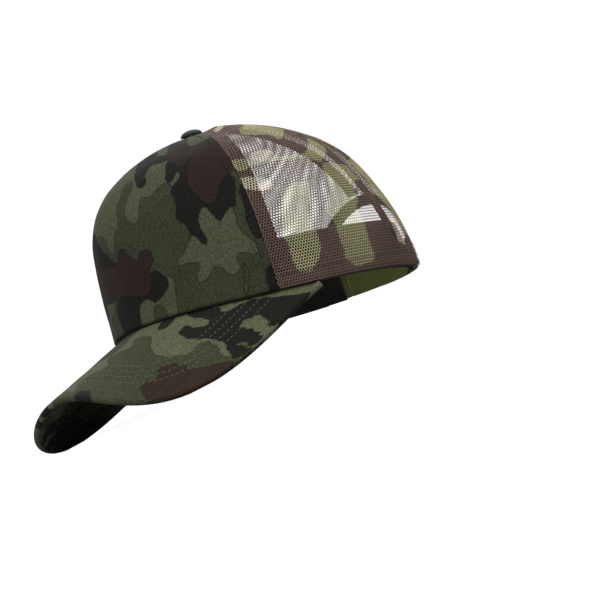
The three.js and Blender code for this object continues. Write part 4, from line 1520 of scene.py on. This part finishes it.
@dataclass
class Brim:
    """The arched brim: printed covers over a board, with rows of stitching that follow its edge."""

    crown: CrownShape
    place: CapFrame
    wardrobe: Wardrobe
    reach: float = 170.0
    square: float = 3.2
    slope: float = 0.468
    arch: tuple[float, float] = (82.0, 66.0)
    tuck: float = 4.0
    half_width: float = 88.0
    taper: float = 2.5
    cover: float = 0.9
    gap: float = 0.3
    board: float = 2.0
    rows: tuple[float, ...] = (16.0, 21.5, 27.0, 32.5)

    @property
    def rim(self) -> float:
        """The radius of the rounded edge."""
        return self.cover + self.gap + self.board / 2

    def edge(self, across: Grid) -> Grid:
        """The middle line of the rounded edge, from the right corner at -1 to the left one at 1."""
        turn = np.asarray(across) * math.pi / 2
        n = self.square
        size = (np.abs(np.sin(turn)) ** n + np.abs(np.cos(turn)) ** n) ** (-1 / n)
        back = -float(self.crown.oval(self.crown.brim_corner)[1])
        x = (self.half_width - self.rim) * np.sin(turn) * size
        forward = (self.reach - back - self.rim) * np.cos(turn) * size
        share = forward / (self.reach - back)
        curl = (1 / self.arch[0] + (1 / self.arch[1] - 1 / self.arch[0]) * share) / 2
        corner = (self.half_width - self.rim) ** 2 / self.arch[0] / 2
        height = corner - self.slope * forward - curl * x * x - self.gap
        return np.stack([x - self.taper * np.asarray(across) ** 9, -back - forward, height], -1)

    def top(self, across: Grid, out: Grid) -> Grid:
        """A point of the top face: out is 0 under the crown and 1 above the middle of the edge."""
        across, out = np.broadcast_arrays(np.asarray(across, float), np.asarray(out, float))
        u = across * self.crown.brim_corner
        x, y = self.crown.oval(u, self.tuck)
        inner = np.stack([x, y, self.crown.edge_height(u) - self.gap], -1)
        return inner + (self.edge(across) - inner) * out[..., None]

    def ways(self, across: Grid, out: Grid) -> tuple[Grid, Grid]:
        """The ways outwards and up at points of the top face."""
        across, out = np.broadcast_arrays(np.asarray(across, float), np.asarray(out, float))
        step = 1e-3
        low, high = np.clip(across - step, -1, 1), np.clip(across + step, -1, 1)
        side = self.top(high, out) - self.top(low, out)
        outward = self.top(across, np.ones_like(out)) - self.top(across, np.zeros_like(out))
        outward /= np.linalg.norm(outward, axis=-1, keepdims=True)
        up = np.cross(outward, side)
        up /= np.linalg.norm(up, axis=-1, keepdims=True)
        up = up * out[..., None] + np.array([0, 0, 1.0]) * (1 - out)[..., None]
        return outward, up / np.linalg.norm(up, axis=-1, keepdims=True)

    def flat(self, points: Grid) -> tuple[Grid, Grid]:
        """The print's place of points: x along the arch from the middle and y forward from the crown."""
        x = points[..., 0]
        curl = 0.0066
        along = x / 2 * np.sqrt(1 + 4 * curl**2 * x**2) + np.arcsinh(2 * curl * x) / (4 * curl)
        seam = -self.crown.half_length * np.sqrt(np.clip(1 - (x / (self.crown.half_width + 3)) ** 2, 0.02, 1))
        return along, (seam - points[..., 1])

    def from_edge(self, points: Grid) -> Grid:
        """The distance of points of the top face from the edge's middle line."""
        line = self.edge(np.linspace(-1, 1, 260))
        flat = points.reshape(-1, 3)
        near = [np.sqrt(((part[:, None] - line[None]) ** 2).sum(-1)).min(1)
                for part in np.array_split(flat, 40)]
        return np.concatenate(near).reshape(points.shape[:-1])

    def groove(self, from_edge: Grid) -> Grid:
        """How deep the stitched rows draw the cloth in, at a distance from the edge."""
        return 0.4 * np.clip(sum(np.exp(-(((from_edge - row) / 1.1) ** 2)) for row in self.rows), 0, 1)

    def row_line(self, row: float) -> tuple[Grid, Grid]:
        """Where a row of stitching runs.

        Args:
            row: Its distance from the edge.

        Returns:
            The across and the out of its points.
        """
        across, out_line = np.linspace(-0.995, 0.995, 420), np.linspace(1, 0, 90)
        a, out = np.meshgrid(across, out_line, indexing="ij")
        away = self.from_edge(self.top(a, out))
        kept = away.max(axis=1) > row + 0.5
        found = np.array([np.interp(row, np.maximum.accumulate(line), out_line) for line in away])
        return across[kept], found[kept]

    def build_top(self) -> None:
        """Makes the top cover, which turns round the edge, with its quilted rows and the print."""
        across = np.linspace(-1, 1, 400)
        turns = np.radians(np.linspace(180, 12, 12))
        out_line = np.linspace(1, 0, 110)
        rows = np.concatenate([1 + turns, out_line])
        a, r = np.meshgrid(across, rows, indexing="ij")
        out, turn = np.minimum(1, r), np.clip(r - 1, 0, None)
        outward, up = self.ways(a, out)
        base = self.top(a, out)
        from_edge = self.from_edge(base)
        depth = np.where(turn > 0, 0, self.groove(from_edge))
        swell = np.where(turn > 0, 0, 0.12 * wander(a * 110, out * 60, 16.0,
                                                    97) * np.clip(from_edge / 6, 0, 1))

        def layer(radius: float, drop: Grid) -> Grid:
            lift = -self.rim + radius * np.cos(turn) - drop
            return base + up * lift[..., None] + outward * (radius * np.sin(turn))[..., None]

        outer = layer(self.rim, depth + swell)
        inner = layer(self.rim - self.cover, np.zeros_like(depth))
        piece = shell_object("brim_top_cloth", self.place.place(outer), self.place.place(inner))
        self.dress_print(piece, outer, 0.0)
        settle(piece, "crown", "brim_cloth", "brim_top_cover")

    def dress_print(self, piece: bpy.types.Object, outer: Grid, shift: float) -> None:
        """Prints a cover and gives it its map."""
        x, y = self.flat(outer)
        both = lambda grid: np.concatenate([grid.ravel(), grid.ravel()])
        across, along = BRIM_PRINT_SHIFT
        for name, values in BRIM_PRINT.fields(x + across + shift, y + along).items():
            set_field(piece, name, both(values))
        set_map(piece, both(x), both(y))
        self.wardrobe.dress(piece, Finish.BRIM)

    def build_under(self) -> None:
        """Makes the under cover."""
        across, out_line = np.linspace(-1, 1, 220), np.linspace(1, 0, 60)
        a, out = np.meshgrid(across, out_line, indexing="ij")
        outward, up = self.ways(a, out)
        depth = self.cover + self.board + 2 * self.gap
        pulled = self.top(a, out) - outward * (2 * self.gap * out)[..., None]
        groove = self.groove(self.from_edge(self.top(a, out))) * 0.8
        outer = pulled - up * np.full(a.shape, depth)[..., None]
        inner = pulled - up * (depth + self.cover - groove)[..., None]
        piece = shell_object("brim_under_cloth", self.place.place(outer), self.place.place(inner))
        self.dress_print(piece, outer, 34.0)
        settle(piece, "crown", "brim_cloth", "brim_under_cover")

    def build_stitches(self) -> None:
        """Makes the rows of stitching on both faces."""
        lines = []
        for row in self.rows:
            across, out = self.row_line(row)
            outward, up = self.ways(across, out)
            lines.append((self.place.place(self.top(across, out) - up * 0.28), up @ self.place.axes.T))
            below = self.cover * 2 + self.board + 2 * self.gap - 0.22
            under = self.top(across, out) - outward * (2 * self.gap * out)[:, None] - up * below
            lines.append((self.place.place(under), -up @ self.place.axes.T))
        piece = stitch_row("brim_stitches", lines, 2.2, 1.4, 0.2)
        self.wardrobe.dress(piece, Finish.BRIM_THREAD)
        settle(piece, "crown", "brim_cloth")

    def build(self) -> None:
        """Makes the brim."""
        self.build_top()
        self.build_under()
        self.build_stitches()


@dataclass
class StrapDetail:
    """What the two strap halves carry besides their plain form: beads at the flex lines, rims round holes."""

    crown: CrownShape
    place: CapFrame
    wardrobe: Wardrobe
    flex: float = 40.0
    gap: float = 1.2
    bead: float = 0.6
    depth: float = 1.3
    second_depth: float = 2.7
    thick: float = 1.1
    low: float = 1.0
    high: float = 21.0
    pitch: float = 8.6
    holes: int = 7
    middle: int = 2
    rim_radius: float = 3.1
    rim_thick: float = 0.32
    bead_margin: float = 0.3

    def spot(self, s: float, height: float, depth: float) -> np.ndarray:
        """A point of the strap, `s` along from the middle of the back, in metres."""
        turn = np.array([math.pi - s / math.hypot(self.crown.half_width, 0.0)])
        return self.place.place(self.crown.inside(turn, np.array([height / self.crown.height]),
                                                  np.array([depth])))[0]

    def build_bead(self, name: str, body: str, s: float, depth: float) -> None:
        """Makes one of the two beads that close the flexing web between a strap half and its sewn tab."""
        middle = depth + self.thick / 2
        low, high = (Vector(self.spot(s, h, middle))
                     for h in (self.low + self.bead_margin, self.high - self.bead_margin))
        bpy.ops.object.select_all(action="DESELECT")
        bpy.ops.mesh.primitive_cylinder_add(vertices=20, radius=self.bead * MM, depth=(high - low).length)
        piece = bpy.context.active_object
        piece.name = piece.data.name = name
        piece.data.transform((high - low).to_track_quat("Z", "Y").to_matrix().to_4x4())
        piece.data.transform(Matrix.Translation((low + high) / 2))
        bpy.ops.object.shade_smooth_by_angle(angle=0.7)
        self.wardrobe.dress(piece, Finish.SNAP)
        settle(piece, body, "snap_plastic")

    def build_rims(self) -> None:
        """Makes the raised rim round each hole of the outer half."""
        rings = []
        for k in range(self.holes):
            s = self.pitch * (k - self.middle)
            at, inner = (Vector(self.spot(s, (self.low + self.high) / 2, self.depth + d)) for d in (0.0, 1.0))
            bpy.ops.object.select_all(action="DESELECT")
            bpy.ops.mesh.primitive_torus_add(major_radius=self.rim_radius * MM,
                                             minor_radius=self.rim_thick * MM,
                                             major_segments=40, minor_segments=10)
            ring = bpy.context.active_object
            ring.data.transform((at - inner).to_track_quat("Z", "Y").to_matrix().to_4x4())
            ring.data.transform(Matrix.Translation(at))
            rings.append(ring)
        bpy.ops.object.select_all(action="DESELECT")
        for ring in rings:
            ring.select_set(True)
        bpy.context.view_layer.objects.active = rings[0]
        bpy.ops.object.join()
        piece = bpy.context.active_object
        piece.name = piece.data.name = "snap_hole_rims"
        piece.data.shade_smooth()
        self.wardrobe.dress(piece, Finish.SNAP)
        settle(piece, "hole_strap", "snap_plastic")

    def build(self) -> None:
        """Makes the details."""
        for body, side, depth in (("hole_strap", 1, self.depth), ("peg_strap", -1, self.second_depth)):
            self.build_bead(f"{body}_tab_bead", "crown", side * (self.flex - self.gap / 4), depth)
            self.build_bead(f"{body}_end_bead", body, side * (self.flex - self.gap * 3 / 4), depth)
        self.build_rims()


@dataclass
class Button:
    """The covered button on top of the crown."""

    crown: CrownShape
    place: CapFrame
    wardrobe: Wardrobe
    radius: float = 6.9
    height: float = 3.5

    def build(self) -> None:
        """Makes the domed cap with its rolled rim and gathered cloth, starting from a sphere cut in half."""
        bpy.ops.object.select_all(action="DESELECT")
        seat = self.place.place(np.array([0.0, -self.crown.top_forward, self.crown.height - 0.6]))
        bpy.ops.mesh.primitive_uv_sphere_add(segments=48, ring_count=24, radius=self.radius * MM,
                                             location=(0, 0, 0))
        piece = bpy.context.active_object
        piece.name = piece.data.name = "button_cloth_cap"
        bpy.ops.object.mode_set(mode="EDIT")
        bpy.ops.mesh.select_all(action="SELECT")
        bpy.ops.mesh.bisect(plane_co=(0, 0, 0), plane_no=(0, 0, 1), clear_inner=True, use_fill=True)
        bpy.ops.mesh.select_all(action="SELECT")
        bpy.ops.transform.resize(value=(1, 1, self.height / self.radius))
        bpy.ops.mesh.select_all(action="DESELECT")
        bpy.ops.object.mode_set(mode="OBJECT")
        for polygon in piece.data.polygons:
            polygon.select = polygon.normal.z < -0.9
        bpy.ops.object.mode_set(mode="EDIT")
        bpy.ops.mesh.select_mode(type="FACE")
        bpy.ops.mesh.inset(thickness=1.0 * MM)
        bpy.ops.transform.translate(value=(0, 0, 0.6 * MM))
        bpy.ops.object.mode_set(mode="OBJECT")
        points = np.array([v.co[:] for v in piece.data.vertices])
        angle = np.arctan2(points[:, 1], points[:, 0])
        out = np.hypot(points[:, 0], points[:, 1]) / (self.radius * MM)
        fold = 1 + 0.012 * np.sin(angle * 16) * np.clip(out - 0.6, 0, 1)
        points[:, :2] *= fold[:, None]
        moved = points @ self.place.axes.T + seat
        for vertex, co in zip(piece.data.vertices, moved):
            vertex.co = co
        piece.data.shade_smooth()
        for layer in list(piece.data.uv_layers):
            piece.data.uv_layers.remove(layer)
        set_map(piece, points[:, 0] / MM, points[:, 1] / MM)
        self.wardrobe.dress(piece, Finish.BUTTON)
        settle(piece, "crown", "button", "button_cap")


@dataclass
class Studio:
    """The floor, the lights and the camera."""

    place: CapFrame
    distance: float = 6.0
    view_width: float = 0.366
    aim: tuple[float, float, float] = (44.0, -7.0, -4.0)
    lean: float = 16.5

    def build_camera(self) -> None:
        """Sets the camera beside the cap, level with its lower edge and leaning with it."""
        along = np.array([0.574, 0.819, 0.0])
        up = np.array([0.1045 * 0.819, -0.1045 * 0.574, 0.9945])
        toward = np.cross(along, up)
        c, s = math.cos(math.radians(self.lean)), math.sin(math.radians(self.lean))
        right, top = c * along - s * up, s * along + c * up
        axes = self.place.axes @ np.stack([right, top, toward], -1)
        spot = self.place.place(np.array(self.aim)) + self.place.axes @ toward * self.distance
        data = bpy.data.cameras.new("camera")
        data.sensor_width = 36
        data.lens = 36 * self.distance / self.view_width
        data.clip_end = 50
        camera = bpy.data.objects.new("camera", data)
        matrix = Matrix.Identity(4)
        for i in range(3):
            for j in range(3):
                matrix[i][j] = axes[i, j]
            matrix[i][3] = spot[i]
        camera.matrix_world = matrix
        bpy.context.scene.collection.objects.link(camera)
        bpy.context.scene.camera = camera

    def build_floor(self) -> None:
        """Makes the plain white floor."""
        piece = make_object("floor", np.array([[-9, -9, 0], [9, -9, 0], [9, 9, 0], [-9, 9, 0.0]]),
                            [[0, 1, 2, 3]], False)
        material, n, shader = start_material("floor_paper")
        seen = n.add("ShaderNodeLightPath").outputs["Is Camera Ray"]
        n.feed(shader.inputs["Base Color"], n.mix(seen, (0.3, 0.3, 0.3, 1), (0.14, 0.14, 0.14, 1)))
        shader.inputs["Roughness"].default_value = 0.9
        shader.inputs["Emission Color"].default_value = (1, 1, 1, 1)
        n.feed(shader.inputs["Emission Strength"], n.math("MULTIPLY", seen, 0.95))
        piece.data.materials.append(material)

    def build_light(self, name: str, spot: tuple, aim: tuple, size: float, power: float) -> None:
        """Adds one soft area light."""
        data = bpy.data.lights.new(name, "AREA")
        data.shape, data.size, data.energy = "DISK", size, power
        light = bpy.data.objects.new(name, data)
        light.location = spot
        light.rotation_euler = (Vector(aim) - Vector(spot)).to_track_quat("-Z", "Y").to_euler()
        bpy.context.scene.collection.objects.link(light)

    def build(self) -> None:
        """Makes the studio."""
        self.build_camera()
        self.build_floor()
        self.build_light("key", (1.1, -1.6, 1.9), (0, 0, 0.07), 1.2, 34)
        self.build_light("fill", (1.8, 0.6, 1.0), (0, 0, 0.07), 1.6, 12)
        self.build_light("back", (-1.2, 1.6, 1.6), (0, 0, 0.07), 1.2, 16)
        world = bpy.data.worlds.new("studio")
        bpy.context.scene.world = world
        world.use_nodes = True
        n = Nodes(world.node_tree)
        background = world.node_tree.nodes["Background"]
        background.inputs["Color"].default_value = (1, 1, 1, 1)
        seen = n.add("ShaderNodeLightPath").outputs["Is Camera Ray"]
        n.feed(background.inputs["Strength"], n.span(seen, 0, 1, 0.55, 1.05))
        bpy.context.scene.view_settings.view_transform = "Standard"


def main() -> None:
    """Builds the cap and its studio, and reports each piece."""
    logging.basicConfig(level=logging.INFO, format="%(name)s %(message)s")
    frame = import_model()
    place = CapFrame.from_record(frame["record"])
    crown = CrownShape()
    wardrobe = Wardrobe()
    Studio(place).build()
    CrownCloth(crown, place, wardrobe).build()
    for side in Side:
        for back in (False, True):
            NetPanel(crown, place, wardrobe, side, back).build()
    CrownLining(crown, place, wardrobe).build()
    Brim(crown, place, wardrobe).build()
    StrapDetail(crown, place, wardrobe).build()
    Button(crown, place, wardrobe).build()
    for node, finish in {"brim_board": Finish.BOARD, "button_rivet": Finish.TACK,
                         "snap_strap_holes": Finish.SNAP, "snap_strap_pegs": Finish.SNAP,
                         "strap_tab_left": Finish.SNAP, "strap_tab_right": Finish.SNAP}.items():
        wardrobe.dress(frame["nodes"][node], finish)


if __name__ == "__main__":
    main()
